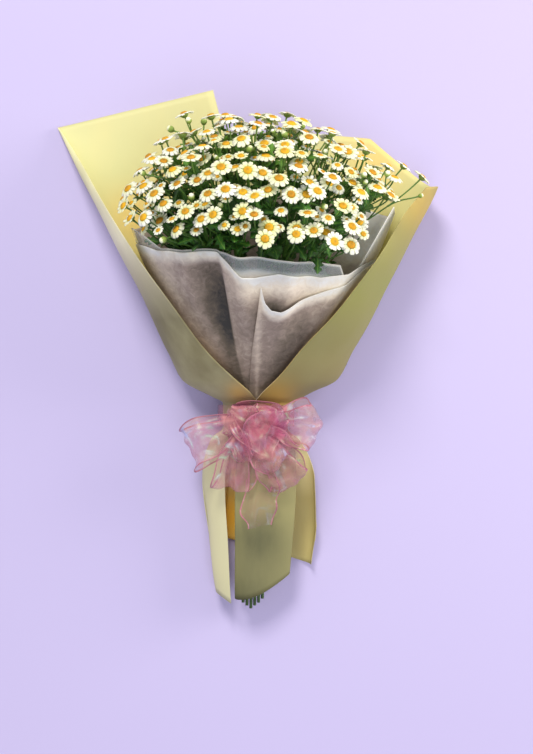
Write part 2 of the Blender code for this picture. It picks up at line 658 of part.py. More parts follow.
def plan_bunch():
    """The stems, then the blooms and leaves that find room round them."""
    stems = main_stems()
    space = Space(obstacle_points())
    for owner, stem in enumerate(stems):
        space.add(dense(stem["upper"][2:]), STEM_RADIUS + 0.3, owner)
        space.add(dense(stem["upper"][[4, 8, 12]]), STEM_RADIUS + 0.1, owner)
    return stems, grow_blooms(stems, space), grow_leaves(stems, space)


# Stems, blooms and leaves as solids

DISC_SHARE = 0.40
NOTCH_SHARE = 0.62
DISC_PEAK = 3.4


def across_axis(axis, spin):
    """Two directions square to an axis, turned by the spin."""
    side = unit(np.cross(axis, (0.31, 0.17, 0.94) if abs(axis[2]) < 0.8 else (0.9, 0.3, 0.1)))
    other = np.cross(axis, side)
    return (math.cos(spin) * side + math.sin(spin) * other, math.cos(spin) * other - math.sin(spin) * side)


def bloom_mesh(bloom):
    """One closed body: three-sided stalk, ring of notched petals and domed disc."""
    centre, axis, radius = bloom["centre"], bloom["axis"], bloom["radius"]
    stalk = coarse(bloom["path"])
    vertices, faces = tube_mesh(stalk, [STALK_RADIUS] * len(stalk), 3)
    faces.pop()
    hub = range(len(vertices) - 3, len(vertices))
    side, other = across_axis(axis, bloom["spin"])

    def around(steps, share, height):
        """Points of a ring, counted in half petals."""
        turns = [math.pi * k / PETALS for k in steps]
        middle = centre + axis * height
        return [middle + radius * share * (math.cos(t) * side + math.sin(t) * other) for t in turns]

    tip = len(vertices)
    notch, disc, peak = tip + PETALS, tip + 2 * PETALS, tip + 3 * PETALS
    vertices += around(range(0, 2 * PETALS, 2), 1.0, 0.1)
    vertices += around(range(1, 2 * PETALS, 2), NOTCH_SHARE, 0.2)
    vertices += around(range(1, 2 * PETALS, 2), DISC_SHARE, 1.2)
    vertices.append(centre + axis * DISC_PEAK)
    rim = []
    for k in range(PETALS):
        n = (k + 1) % PETALS
        faces += [(tip + k, notch + k, disc + k), (notch + k, tip + n, disc + k)]
        faces += [(disc + k, tip + n, disc + n), (disc + k, disc + n, peak)]
        rim += [tip + k, notch + k]
    turn = {j: math.atan2((vertices[j] - centre) @ other, (vertices[j] - centre) @ side) for j in hub}
    nearest = []
    for k in range(2 * PETALS):
        nearest.append(max(hub, key=lambda j: math.cos(turn[j] - math.pi * k / PETALS)))
    for k in range(2 * PETALS):
        n = (k + 1) % (2 * PETALS)
        faces.append((rim[k], nearest[k], rim[n]))
        if nearest[k] != nearest[n]:
            faces.append((rim[n], nearest[k], nearest[n]))
    return vertices, faces


# Half of the outline, from the foot to the last notch: share along the rib and distance from it
LEAF_OUTLINE = ((0.0, 0.035), (0.30, 0.19), (0.43, 0.07), (0.62, 0.25), (0.74, 0.09))
LEAF_THICKNESS = 0.9
LEAF_FOLD = 0.35


def leaf_mesh(leaf):
    """A lobed blade folded along its rib, the same outline above and below."""
    run, face, length = leaf["run"], leaf["face"], leaf["length"]
    start = leaf["start"] - run * 0.6
    side = np.cross(run, face)
    upper = [start, start + run * length]
    for sign in (1, -1):
        upper += [start + length * (run * along + sign * side * out + face * out * LEAF_FOLD)
                  for along, out in LEAF_OUTLINE]
    count, edge = len(upper), len(LEAF_OUTLINE)
    half = face * LEAF_THICKNESS / 2
    vertices = [v + half for v in upper] + [v - half for v in upper]
    left = list(range(2, 2 + edge))
    right = list(range(1 + 2 * edge, 1 + edge, -1))
    halves = [(0, *left, 1), (1, *right, 0)]
    faces = halves + [tuple(count + i for i in half[::-1]) for half in halves]
    outline = [0, *left, 1, *right]
    for a, b in zip(outline, outline[1:] + outline[:1]):
        faces.append((a, count + a, count + b, b))
    return vertices, faces


def join_to(base, parts):
    """Joins the parts to the base in one body, and removes their objects."""
    group = bpy.data.collections.new(base.name + "_repeats")
    bpy.context.scene.collection.children.link(group)
    for part in parts:
        bpy.context.scene.collection.objects.unlink(part)
        group.objects.link(part)
    union = base.modifiers.new("join", "BOOLEAN")
    union.operation = "UNION"
    union.operand_type = "COLLECTION"
    union.collection = group
    union.solver = "MANIFOLD"
    bpy.context.view_layer.update()
    graph = bpy.context.evaluated_depsgraph_get()
    mesh = bpy.data.meshes.new_from_object(base.evaluated_get(graph))
    base.modifiers.clear()
    old = base.data
    base.data = mesh
    bpy.data.meshes.remove(old)
    for part in list(group.objects):
        data = part.data
        bpy.data.objects.remove(part)
        bpy.data.meshes.remove(data)
    bpy.data.collections.remove(group)
    fill_hollows(base)


def fill_hollows(piece):
    """Takes away the inward-facing skins that the union leaves round any space closed off inside it."""
    shape = bmesh.new()
    shape.from_mesh(piece.data)
    unseen = set(shape.faces)
    hollow = []
    while unseen:
        island, edge = [], [unseen.pop()]
        while edge:
            face = edge.pop()
            island.append(face)
            for loop in face.loops:
                for other in loop.edge.link_faces:
                    if other in unseen:
                        unseen.discard(other)
                        edge.append(other)
        volume = 0.0
        for face in island:
            corners = [v.co for v in face.verts]
            for k in range(1, len(corners) - 1):
                volume += corners[0].dot(corners[k].cross(corners[k + 1]))
        if volume <= 0:
            hollow += island
    bmesh.ops.delete(shape, geom=hollow, context="FACES")
    shape.to_mesh(piece.data)
    shape.free()


def make_sprays(stems, blooms, leaves, material):
    """Each stem with its blooms and leaves is one node."""
    for owner, stem in enumerate(stems):
        upper = stem["upper"]
        path = np.concatenate([stem["lower"], upper[[0, 4, 8, 12]]])
        radii = [STEM_RADIUS] * 4 + [1.4, 1.2]
        name = f"spray_{owner + 1:02d}"
        vertices, faces = tube_mesh(path, radii, 5)
        base = new_piece(name, vertices, faces, material)
        parts = []
        for k, bloom in enumerate(b for b in blooms if b["stem"] == owner):
            parts.append(new_piece(f"{name}_bloom_{k}", *bloom_mesh(bloom), material))
        for k, leaf in enumerate(f for f in leaves if f["stem"] == owner):
            parts.append(new_piece(f"{name}_leaf_{k}", *leaf_mesh(leaf), material))
        join_to(base, parts)


# Tie, ribbon band and bow

TIE_INNER = (14.8, 8.5)
TIE_WALL = 0.9
BAND_INNER = (37.2, 17.6)
BAND_HEIGHT = 24.6
BOW_CENTRE = np.array([2.0, -24.0, 58.5])
KNOT_CENTRE = (2.0, -24.0, 54.0)
KNOT_RADII = (15.0, 13.0, 11.0)
# Each loop: direction in plan in degrees, reach, ribbon width, loop height, rise of its far end and
# roll in degrees
BOW_LOOPS = ((190, 70, 46, 20, 1, 8), (243, 64, 42, 17, 0, -6), (10, 58, 42, 20, 3, -8),
             (-50, 62, 40, 17, 0, 8), (66, 31, 30, 22, 15, 14), (140, 30, 30, 22, 15, -14),
             (285, 36, 32, 20, 17, 6))
# The tail: direction, reach, width and fall
BOW_TAIL = (-86, 92, 34, -6)
BOW_STEPS = 6
GATHERED = 0.32


def ring_solid(name, inner, height, wall, ends, sides, material):
    """An oval ring round the neck, given its inner half width and half height and its middle's height."""
    vertices, faces = [], []
    for k in range(sides):
        turn = math.tau * k / sides
        for extra, y in ((0.0, ends[0]), (wall, ends[0]), (wall, ends[1]), (0.0, ends[1])):
            x, z = (inner[0] + extra) * math.cos(turn), (inner[1] + extra) * math.sin(turn)
            vertices.append((x, y, height + z))
    for k in range(sides):
        a, b = 4 * k, 4 * ((k + 1) % sides)
        for j in range(4):
            faces.append((a + j, b + j, b + (j + 1) % 4, a + (j + 1) % 4))
    return new_piece(name, vertices, faces, material)


def gather(share, quick):
    """How much of the ribbon's width is spread out: drawn in at the knot, flat further on."""
    return GATHERED + (1 - GATHERED) * math.sin(math.pi / 2 * min(1.0, share * quick))


def loop_mesh(loop):
    """A closed loop of ribbon: out along its lower run, round the end and back along its upper run."""
    angle, reach, width, height, rise, roll = loop
    turn = math.radians(angle)
    out = np.array([math.cos(turn), math.sin(turn), rise / reach])
    flat = np.array([-math.sin(turn), math.cos(turn), 0.0])
    up = unit(np.cross(out, flat))
    across = flat * math.cos(math.radians(roll)) + up * math.sin(math.radians(roll))
    vertices, faces = [], []
    count = 2 * BOW_STEPS
    for k in range(count):
        turn = math.tau * k / count
        share = (1 - math.cos(turn)) / 2
        swell = 0.35 + 0.65 * share
        middle = BOW_CENTRE + out * reach * share - up * math.sin(turn) * height / 2 * swell
        normal = unit(up * math.sin(turn) * reach + out * math.cos(turn) * height * swell)
        for sign in (-1, 1):
            edge = middle + across * sign * width / 2 * gather(share, 1.6)
            vertices += [edge - normal * RIBBON_THICKNESS / 2, edge + normal * RIBBON_THICKNESS / 2]
    for k in range(count):
        a, b = 4 * k, 4 * ((k + 1) % count)
        for j, i in ((0, 1), (1, 3), (3, 2), (2, 0)):
            faces.append((a + j, b + j, b + i, a + i))
    return vertices, faces


def tail_grid(tail, steps, columns):
    """A free end of the ribbon, gathered at the knot and waved towards its tip."""
    angle, reach, width, fall = tail
    turn = math.radians(angle)
    out = np.array([math.cos(turn), math.sin(turn), 0.0])
    across = np.array([-out[1], out[0], 0.0])
    rows = []
    for k in range(steps + 1):
        share = k / steps
        height = fall * share + 3.0 * math.sin(share * 7) * share
        middle = BOW_CENTRE + out * reach * share + np.array([0, 0, height])
        half = width / 2 * gather(share, 1.8)
        rows.append([middle + across * half * side for side in np.linspace(-1, 1, columns)])
    return np.array(rows)


def make_bow(material):
    """A knot with its loops and its tail, in one body."""
    knot = bmesh.new()
    bmesh.ops.create_icosphere(knot, subdivisions=2, radius=1.0)
    vertices = [[c * r + p for c, r, p in zip(vertex.co, KNOT_RADII, KNOT_CENTRE)] for vertex in knot.verts]
    faces = [[vertex.index for vertex in face.verts] for face in knot.faces]
    knot.free()
    base = new_piece("ribbon_bow", vertices, faces, material)
    parts = [new_piece(f"bow_loop_{k}", *loop_mesh(loop), material) for k, loop in enumerate(BOW_LOOPS)]
    parts.append(sheet_solid("bow_tail", tail_grid(BOW_TAIL, 6, 3), RIBBON_THICKNESS, material))
    join_to(base, parts)


# Materials and assembly

def surface_material(name, colour, roughness, alpha=1.0):
    material = bpy.data.materials.new(name)
    material.use_nodes = True
    surface = material.node_tree.nodes["Principled BSDF"]
    surface.inputs["Base Color"].default_value = (*colour, 1.0)
    surface.inputs["Roughness"].default_value = roughness
    surface.inputs["Metallic"].default_value = 0.0
    surface.inputs["Alpha"].default_value = alpha
    return material


def make_sheets(paper, tissue):
    """The three sheets of paper and the three of tissue."""
    sheet_solid("paper_left", left_paper_grid(13, 6, 6), PAPER_THICKNESS, paper)
    sheet_solid("paper_back", back_paper_grid(12, 8), PAPER_THICKNESS, paper)
    sheet_solid("paper_right", right_paper_grid(13, 2, 8), PAPER_THICKNESS, paper)
    sheet_solid("tissue_left", left_tissue_grid((6, 3), 13), TISSUE_THICKNESS, tissue)
    sheet_solid("tissue_right", right_tissue_grid((6, 3), 8), TISSUE_THICKNESS, tissue)
    sheet_solid("tissue_inner", inner_tissue_grid((6, 3), 13), TISSUE_THICKNESS, tissue, closed=True)


def stand_on_origin():
    """Moves every mesh so that the origin is at the middle of the footprint, on the surface."""
    pieces = [o for o in bpy.context.scene.objects if o.type == "MESH"]
    corners = np.array([v.co for o in pieces for v in o.data.vertices])
    low, high = corners.min(0), corners.max(0)
    shift = Vector((-(low[0] + high[0]) / 2, -(low[1] + high[1]) / 2, -low[2]))
    for piece in pieces:
        for vertex in piece.data.vertices:
            vertex.co += shift


def build():
    for old in list(bpy.data.objects):
        bpy.data.objects.remove(old)
    paper = surface_material("wrapping_paper", (0.72, 0.70, 0.42), 0.6)
    tissue = surface_material("nonwoven_tissue", (0.62, 0.56, 0.52), 0.9)
    green = surface_material("stem_and_leaf", (0.10, 0.22, 0.04), 0.6)
    ribbon = surface_material("organza_ribbon", (0.85, 0.45, 0.60), 0.3, alpha=0.7)
    tape = surface_material("stem_tape", (0.05, 0.18, 0.06), 0.7)
    make_sheets(paper, tissue)
    ring_solid("stem_tie", TIE_INNER, TIE_HEIGHT, TIE_WALL, (-4, 4), 16, tape)
    ring_solid("ribbon_band", BAND_INNER, BAND_HEIGHT, RIBBON_THICKNESS, (-21, 1), 20, ribbon)
    make_bow(ribbon)
    stems, blooms, leaves = plan_bunch()
    print(len(blooms), "blooms,", len(leaves), "leaves on", len(stems), "stems")
    make_sprays(stems, blooms, leaves, green)
    stand_on_origin()


build()
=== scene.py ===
# %% [markdown]
# # A wrapped bunch of chamomile
# The bunch lies on its back. Its stems are tied in the middle, three sheets of tissue and three of paper
# are wrapped round them, and a bow of organza ribbon covers the tie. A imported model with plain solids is
# loaded first. Each finished piece then takes the place of its solids.

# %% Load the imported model
import functools
import json
import math

import bpy
import numpy as np
from mathutils import Matrix, Vector

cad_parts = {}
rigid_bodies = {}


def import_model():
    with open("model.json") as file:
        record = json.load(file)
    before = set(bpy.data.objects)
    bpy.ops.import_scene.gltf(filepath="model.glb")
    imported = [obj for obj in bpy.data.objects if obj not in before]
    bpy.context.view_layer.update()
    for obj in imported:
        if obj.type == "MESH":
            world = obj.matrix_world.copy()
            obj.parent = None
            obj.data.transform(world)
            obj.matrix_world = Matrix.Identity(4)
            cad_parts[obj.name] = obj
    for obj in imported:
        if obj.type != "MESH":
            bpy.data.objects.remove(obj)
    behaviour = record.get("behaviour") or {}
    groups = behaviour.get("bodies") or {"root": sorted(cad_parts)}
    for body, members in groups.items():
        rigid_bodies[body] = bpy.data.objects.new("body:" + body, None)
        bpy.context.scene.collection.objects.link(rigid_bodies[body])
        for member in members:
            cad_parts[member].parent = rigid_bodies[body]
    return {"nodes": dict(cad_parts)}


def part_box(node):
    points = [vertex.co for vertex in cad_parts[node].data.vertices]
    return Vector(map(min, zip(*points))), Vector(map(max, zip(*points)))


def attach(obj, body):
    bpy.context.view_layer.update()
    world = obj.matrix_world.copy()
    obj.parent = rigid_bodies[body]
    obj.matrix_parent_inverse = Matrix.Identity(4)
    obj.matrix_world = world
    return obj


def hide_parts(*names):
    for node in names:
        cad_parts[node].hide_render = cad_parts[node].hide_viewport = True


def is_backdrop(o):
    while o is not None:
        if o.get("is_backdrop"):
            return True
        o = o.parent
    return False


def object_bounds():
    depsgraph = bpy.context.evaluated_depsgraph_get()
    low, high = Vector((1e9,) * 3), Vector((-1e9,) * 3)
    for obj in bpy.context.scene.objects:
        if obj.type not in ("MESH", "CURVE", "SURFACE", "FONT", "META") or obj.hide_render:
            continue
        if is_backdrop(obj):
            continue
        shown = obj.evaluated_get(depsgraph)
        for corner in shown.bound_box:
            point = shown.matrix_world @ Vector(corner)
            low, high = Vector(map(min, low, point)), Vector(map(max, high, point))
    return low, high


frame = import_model()
cad_box = [list(corner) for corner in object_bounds()]
MM = 0.001
TIE_HEIGHT = 22.0
low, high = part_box("stem_tie")
tie_middle = (np.array(low) + np.array(high)) / 2
SHIFT = tie_middle - (0, 0, TIE_HEIGHT * MM)
cad_size = [round((b - a) / MM) for a, b in zip(*cad_box)]
print("the bunch is", cad_size, "mm; the tie is at", tie_middle.round(4))

# %% [markdown]
# The camera comes first, so that every piece can be judged from where it is seen. A bunch in the hand is
# looked at from its front, and a bunch on a table from above, so the camera looks straight down.

# %% Camera
CAMERA_OVER = (10.5, 28.0, 0.0)
CAMERA_HEIGHT = 1.5


def in_frame(points):
    """From millimetres with the tie at Y 0 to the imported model's metres."""
    return np.asarray(points, float) * MM + SHIFT


def as_object(name, data):
    """An object in the scene that shows a mesh, a camera or a light."""
    made = bpy.data.objects.new(name, data)
    bpy.context.scene.collection.objects.link(made)
    return made


camera = as_object("camera", bpy.data.cameras.new("camera"))
camera.data.lens = 71.6
camera.data.sensor_width = 36.0
camera.location = (*in_frame(CAMERA_OVER)[:2], CAMERA_HEIGHT)
bpy.context.scene.camera = camera
# Colours are shown as they are set, as in a catalogue
bpy.context.scene.view_settings.view_transform = "Standard"
print("camera at", [round(c, 3) for c in camera.location])

# %% [markdown]
# Studio light for flowers is broad and soft. One large panel beyond the flowers gives every petal a bright
# and a shaded side, a second one above fills in, and the pale room does the rest.

# %% Lights and floor
def linear(colour, alpha=1.0):
    """A hex colour as it shows on a screen, turned into the linear values that a shader takes."""
    parts = [int(colour[k:k + 2], 16) / 255 for k in (1, 3, 5)]
    return [c / 12.92 if c <= 0.04045 else ((c + 0.055) / 1.055) ** 2.4 for c in parts] + [alpha]


# Each panel: where it hangs, the point that it is turned to, its side, its power in watts and its colour
LIGHT_PANELS = {"key_panel": ((-0.55, 2.0, 2.3), (0, 0.05, 0.05), 0.9, 72, "#FFF8EA"),
                "fill_panel": ((0.3, -0.9, 2.4), (0, 0, 0), 1.6, 22, "#F8F6FF"),
                "side_panel": ((1.7, 0.5, 0.6), (0, 0.1, 0.05), 0.9, 26, "#FFF6E8")}
for name, (place, aim, side, watts, colour) in LIGHT_PANELS.items():
    panel = as_object(name, bpy.data.lights.new(name, "AREA"))
    panel.data.shape = "SQUARE"
    panel.data.size = side
    panel.data.energy = watts
    panel.data.color = linear(colour)[:3]
    panel.location = place
    panel.rotation_euler = (Vector(aim) - Vector(place)).to_track_quat("-Z", "Y").to_euler()
room = bpy.data.worlds.new("pale_room")
room.use_nodes = True
room.node_tree.nodes["Background"].inputs["Color"].default_value = linear("#EEECF6")
room.node_tree.nodes["Background"].inputs["Strength"].default_value = 0.5
bpy.context.scene.world = room

bpy.ops.mesh.primitive_plane_add(size=6.0, location=(0, 0, -0.0004))
floor = bpy.context.object
floor.name = "floor"
floor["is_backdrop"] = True
print(len(LIGHT_PANELS), "light panels and a floor")

# %% [markdown]
# A material is a small tree of nodes. Three helpers write such trees: one starts a material and sets the
# plain values of its shader, one adds a node with its settings, and one feeds a node its values and links.

# %% Helpers for materials
def feed(node, inputs):
    """Gives each input of a node a value, or links it to another node's output."""
    for socket, value in inputs.items():
        if isinstance(value, bpy.types.NodeSocket):
            node.id_data.links.new(value, node.inputs[socket])
        else:
            node.inputs[socket].default_value = value


def add_node(tree, kind, inputs=None, gives=None, steps=(), **settings):
    """Adds one node and returns its output: the named one, or else the first one that is in use.

    Steps are the stops of a colour ramp, each a place and a hex colour.
    """
    made = tree.nodes.new(kind)
    for name, value in settings.items():
        setattr(made, name, value)
    if steps:
        stops = made.color_ramp.elements
        while len(stops) < len(steps):
            stops.new(1.0)
        for stop, (place, colour) in zip(stops, steps):
            stop.position = place
            stop.color = linear(colour)
    feed(made, inputs or {})
    return made.outputs[gives] if gives else next((out for out in made.outputs if out.enabled), None)


def start_material(name, values):
    """A material whose one shader has these plain values, what adds a node to it, and the shader."""
    material = bpy.data.materials.new(name)
    material.use_nodes = True
    shader = material.node_tree.nodes["Principled BSDF"]
    feed(shader, values)
    return material, functools.partial(add_node, material.node_tree), shader


def per_metre(millimetres):
    """The scale of a pattern on metre coordinates that repeats at about this size."""
    return 1000.0 / millimetres


# Matt paint on board: an even, pale ground that only takes soft shadows
painted_floor, add, shader = start_material("matte_painted_board", {
    "Roughness": 0.9, "Base Color": linear("#BCB5DD")})
floor.data.materials.append(painted_floor)
print("one material so far:", painted_floor.name)

# %% [markdown]
# The wrap is a set of sheets round one form: flat below, where the bunch lies, and arched in front. Its
# half width, the height of its side folds and the rise of its front are tables along Y, and a smooth curve
# runs through each. A sheet is a grid of points on that form between its own two edges.

# %% Curves through tables
def smooth(x, stations, values):
    """Monotone cubic through the stations, flat beyond the first and last."""
    stations = np.asarray(stations, float)
    values = np.asarray(values, float)
    x = np.clip(np.asarray(x, float), stations[0], stations[-1])
    step = np.diff(stations)
    slope = np.diff(values) / step
    tangent = np.empty_like(values)
    tangent[0], tangent[-1] = slope[0], slope[-1]
    before, after = slope[:-1], slope[1:]
    same = before * after > 0
    tangent[1:-1] = np.where(same, 2 * before * after / np.where(same, before + after, 1), 0)
    i = np.clip(np.searchsorted(stations, x, side="right") - 1, 0, len(step) - 1)
    t = (x - stations[i]) / step[i]
    return (
        values[i] * (1 + 2 * t) * (1 - t) ** 2
        + values[i + 1] * t * t * (3 - 2 * t)
        + step[i] * (tangent[i] * t * (1 - t) ** 2 - tangent[i + 1] * t * t * (1 - t))
    )


def ramp(x, start, end):
    """0 before start, 1 after end, smooth between."""
    t = np.clip((np.asarray(x, float) - start) / (end - start), 0, 1)
    return t * t * (3 - 2 * t)


def bell(value, middle, width):
    """1 at the middle, falling off smoothly over the width on both sides."""
    return np.exp(-(((value - middle) / width) ** 2))


def rail(points, rows):
    """A smooth line in plan through the points, read at evenly shared rows."""
    points = np.asarray(points, float)
    station = np.arange(len(points))
    t = np.linspace(0, len(points) - 1, rows)
    return np.stack([smooth(t, station, points[:, 0]), smooth(t, station, points[:, 1])], axis=1)


def between(first, second, shares):
    """Rows of plan points shared out from one rail to another."""
    return first[:, None, :] * (1 - shares[None, :, None]) + second[:, None, :] * shares[None, :, None]


print("half way up a ramp from 0 to 10:", float(ramp(5, 0, 10)))

# %% The form of the wrap
PAPER_Y = (-200, -160, -110, -50, -30, -21, 2, 9, 24, 50, 100, 141, 190, 232, 277, 320)
PAPER_LEFT = (36, 43, 47, 54, 41, 32, 32, 43, 71, 83, 107, 128, 153, 175, 198, 219)
PAPER_RIGHT = (46, 55, 60, 56, 42, 32, 32, 43, 75, 90, 117, 138, 162, 182, 203, 220)
FOLD_LEFT = (16, 18, 20, 22, 22, 22, 22, 23, 26, 33, 41, 44, 36, 20, 3, 1)
FOLD_RIGHT = (12, 14, 17, 20, 22, 22, 22, 23, 26, 33, 41, 45, 45, 45, 45, 45)
RISE_LEFT = (20, 21, 22, 20, 17, 17, 17, 28, 44, 64, 100, 120, 108, 66, 25, 5)
RISE_RIGHT = (22, 23, 24, 21, 17, 17, 17, 27, 42, 60, 94, 112, 88, 50, 30, 10)
PAPER_FLOOR = (0.4, 0.4, 0.4, 0.6, 5.6, 8.0, 8.0, 5.6, 1.0, 0.4, 0.4, 0.4, 0.4, 0.4, 0.4, 0.4)
FLAT_BELOW = 0.3
PAPER_FRONT_POWER = 1.8
PAPER_BACK_POWER = 3.4
TISSUE_Y = (-45, -21, 2, 12, 26, 50, 100, 150, 200)
TISSUE_LEFT = (24, 20, 20, 26, 39, 58, 90, 114, 130)
TISSUE_RIGHT = (24, 20, 20, 26, 40, 60, 94, 121, 140)
TISSUE_SIDE = (22, 22, 22, 23, 26, 31, 40, 47, 52)
TISSUE_RISE = (12.5, 11.8, 11.8, 17, 29, 49, 86, 118, 128)
TISSUE_FLOOR = (9.8, 10.2, 10.2, 8.2, 5.4, 3.3, 3.2, 3.2, 3.2)
TISSUE_STATIONS = (-45, -21, 2, 12, 26, 50)
TISSUE_FRONT_POWER = 2.0
TISSUE_BACK_POWER = 3.0
TISSUE_EDGE_SHARE = 0.98
NECK = ((-44, -22), (4, 26))


class Shell:
    """One layer of the wrap: a cross-section that changes along Y, flat below and arched above.

    neck_width and neck_rise set the layer apart from the first one at the tie, and outside does so elsewhere.
    """

    def __init__(self, kind, neck_width=0.0, neck_rise=0.0, outside=0.0):
        self.kind = kind
        self.neck_width = neck_width
        self.neck_rise = neck_rise
        self.outside = outside

    def at_neck(self, y):
        """1 where the layers lie close together at the tie, 0 well away from it."""
        return ramp(y, *NECK[0]) * (1 - ramp(y, *NECK[1]))

    def half_width(self, x, y):
        """Distance from the middle to the fold on the side that x is on."""
        if self.kind == "paper":
            side = np.where(x < 0, smooth(y, PAPER_Y, PAPER_LEFT), smooth(y, PAPER_Y, PAPER_RIGHT))
        else:
            side = np.where(x < 0, smooth(y, TISSUE_Y, TISSUE_LEFT), smooth(y, TISSUE_Y, TISSUE_RIGHT))
        return side + self.outside + (self.neck_width - self.outside) * self.at_neck(y)

    def side_height(self, x, y):
        """Height of the side fold, where the back turns into the front."""
        if self.kind != "paper":
            return smooth(y, TISSUE_Y, TISSUE_SIDE)
        right = ramp(x, -20, 20)
        return smooth(y, PAPER_Y, FOLD_LEFT) * (1 - right) + smooth(y, PAPER_Y, FOLD_RIGHT) * right

    def front(self, x, y):
        if self.kind == "paper":
            right = ramp(x, -20, 20)
            rise = smooth(y, PAPER_Y, RISE_LEFT) * (1 - right) + smooth(y, PAPER_Y, RISE_RIGHT) * right
            power = PAPER_FRONT_POWER
        else:
            rise = smooth(y, TISSUE_Y, TISSUE_RISE)
            power = TISSUE_FRONT_POWER
        rise = rise + self.outside + (self.neck_rise - self.outside) * self.at_neck(y)
        share = np.clip(np.abs(x) / self.half_width(x, y), 0, 1)
        return self.side_height(x, y) + rise * (1 - share**power) ** (1 / power)

    def back(self, x, y):
        if self.kind == "paper":
            floor = smooth(y, PAPER_Y, PAPER_FLOOR)
            power = PAPER_BACK_POWER + (2 - PAPER_BACK_POWER) * self.at_neck(y)
        else:
            floor = smooth(y, TISSUE_Y, TISSUE_FLOOR)
            power = TISSUE_BACK_POWER + (2 - TISSUE_BACK_POWER) * self.at_neck(y)
        floor = floor - self.neck_rise * self.at_neck(y)
        share = np.clip(np.abs(x) / self.half_width(x, y), 0, 1)
        rise = (self.side_height(x, y) - floor) * (1 - (1 - share**power) ** (1 / power))
        return floor + np.where(rise < FLAT_BELOW, 0, rise - FLAT_BELOW)


LEFT_PAPER = Shell("paper")
BACK_PAPER = Shell("paper", neck_width=-4.0, neck_rise=-2.3)
RIGHT_PAPER = Shell("paper", neck_width=4.0, neck_rise=2.3, outside=2.4)
INNER_TISSUE = Shell("tissue", neck_width=-3.0, neck_rise=-1.6, outside=-2.2)
LEFT_TISSUE = Shell("tissue")
RIGHT_TISSUE = Shell("tissue", neck_width=3.0, neck_rise=1.6, outside=2.2)
print("the paper is", PAPER_LEFT[11] + PAPER_RIGHT[11], "mm wide at Y", PAPER_Y[11])

# %% Outlines of the sheets of paper
LEFT_BACK_EDGE = ((-30, -170), (-30, -120), (-20, -66), (2, -32), (6, -21), (8, 2), (10, 12), (12, 28),
                  (12, 56), (10, 116), (-8, 190), (-28, 258), (-43, 315))
LEFT_FRONT_EDGE = ((-24, -194), (-27, -134), (-30, -76), (-20, -34), (-8, -21), (2, 2), (-4, 12), (-22, 29),
                   (-48, 56), (-91, 114), (-138, 182), (-171, 238), (-196.4, 276))
LEFT_FOLD_Y = (-184, -130, -70, -33, -21, 2, 10, 26, 54, 114, 184, 236, 277)
BACK_LEFT_EDGE = ((-31, -132), (-30, -98), (-26, -64), (-22, -32), (-20, -21), (-20, 2), (-24, 12), (-34, 28),
                  (-40, 56), (-42, 120), (-38, 200), (-34, 268))
BACK_TOP = ((-34, 268), (40, 273), (114, 266), (174, 213))
BACK_FOLD_Y = (-158, -115, -70, -33, -21, 2, 10, 26, 54, 110, 165, 213)
RIGHT_FRONT_EDGE = ((-20, -188), (-20, -130), (-20, -76), (-16, -34), (-8, -21), (-2, 2), (5, 12), (21, 28),
                    (46, 57), (84, 100), (118, 145), (141, 184), (161, 209))
RIGHT_OUTER_EDGE = ((33, -164), (36, -128), (39, -80), (38, -34), (30, -21), (0, 2), (0, 10), (0, 26),
                    (0, 54), (0, 104), (0, 150), (0, 188), (0, 213))
CUT_END_Y = -200.0
# The foot of the wide strip is rounded, over its lowest part
FOOT_ROUND = 9.0
FOOT_HEIGHT = 70
# The part of a column, from foot to top, where it bends towards the straight top edge
TOP_SHARE = (0.55, 1.0)
FOLLOWS_FOLD = 5
TUCK_SHARE = 0.06
LAP = 1.5
LAP_X = (22, 60)


def back_columns(count):
    """Shares across a back panel, closer together where it rises to the side fold."""
    return np.sin(np.linspace(0, math.pi / 2, count))


def fold_line(shell, ys, side):
    """The side fold in plan, on the left for side -1 and on the right for side 1."""
    ys = np.asarray(ys, float)
    return np.stack([side * shell.half_width(np.full_like(ys, side), ys), ys], axis=1)


def left_paper_grid(rows, back_count, front_count):
    """From the hidden edge behind the stems, out to the left fold and over to the free front edge."""
    fold_rows = rail(fold_line(LEFT_PAPER, LEFT_FOLD_Y, -1), rows)
    back = between(rail(LEFT_BACK_EDGE, rows), fold_rows, back_columns(back_count))
    front = between(fold_rows, rail(LEFT_FRONT_EDGE, rows), 1 - back_columns(front_count)[::-1])
    back_points = np.dstack([back, LEFT_PAPER.back(back[..., 0], back[..., 1])])
    front_points = np.dstack([front, LEFT_PAPER.front(front[..., 0], front[..., 1])])
    return np.concatenate([back_points, front_points[:, 1:]], axis=1)


def back_paper_grid(rows, count):
    """Flat behind the bunch, rising to the fold on the right. Its top edge has three straight runs."""
    shares = back_columns(count)
    left = rail(BACK_LEFT_EDGE, rows)
    fold_rows = rail(fold_line(BACK_PAPER, BACK_FOLD_Y, 1), rows)
    plan = between(left, fold_rows, shares)
    top = np.asarray(BACK_TOP, float)
    straight = left[-1] * (1 - shares[:, None]) + fold_rows[-1] * shares[:, None]
    edge_y = np.interp(straight[:, 0], top[:, 0], top[:, 1])
    upper = ramp(np.linspace(0, 1, rows), *TOP_SHARE)
    plan[..., 1] += upper[:, None] * (edge_y - straight[:, 1])[None, :]
    z = BACK_PAPER.back(plan[..., 0], plan[..., 1])
    over_left_paper = LAP * (1 - ramp(plan[..., 0], *LAP_X)) * (1 - BACK_PAPER.at_neck(plan[..., 1]))
    return np.dstack([plan, z + over_left_paper])


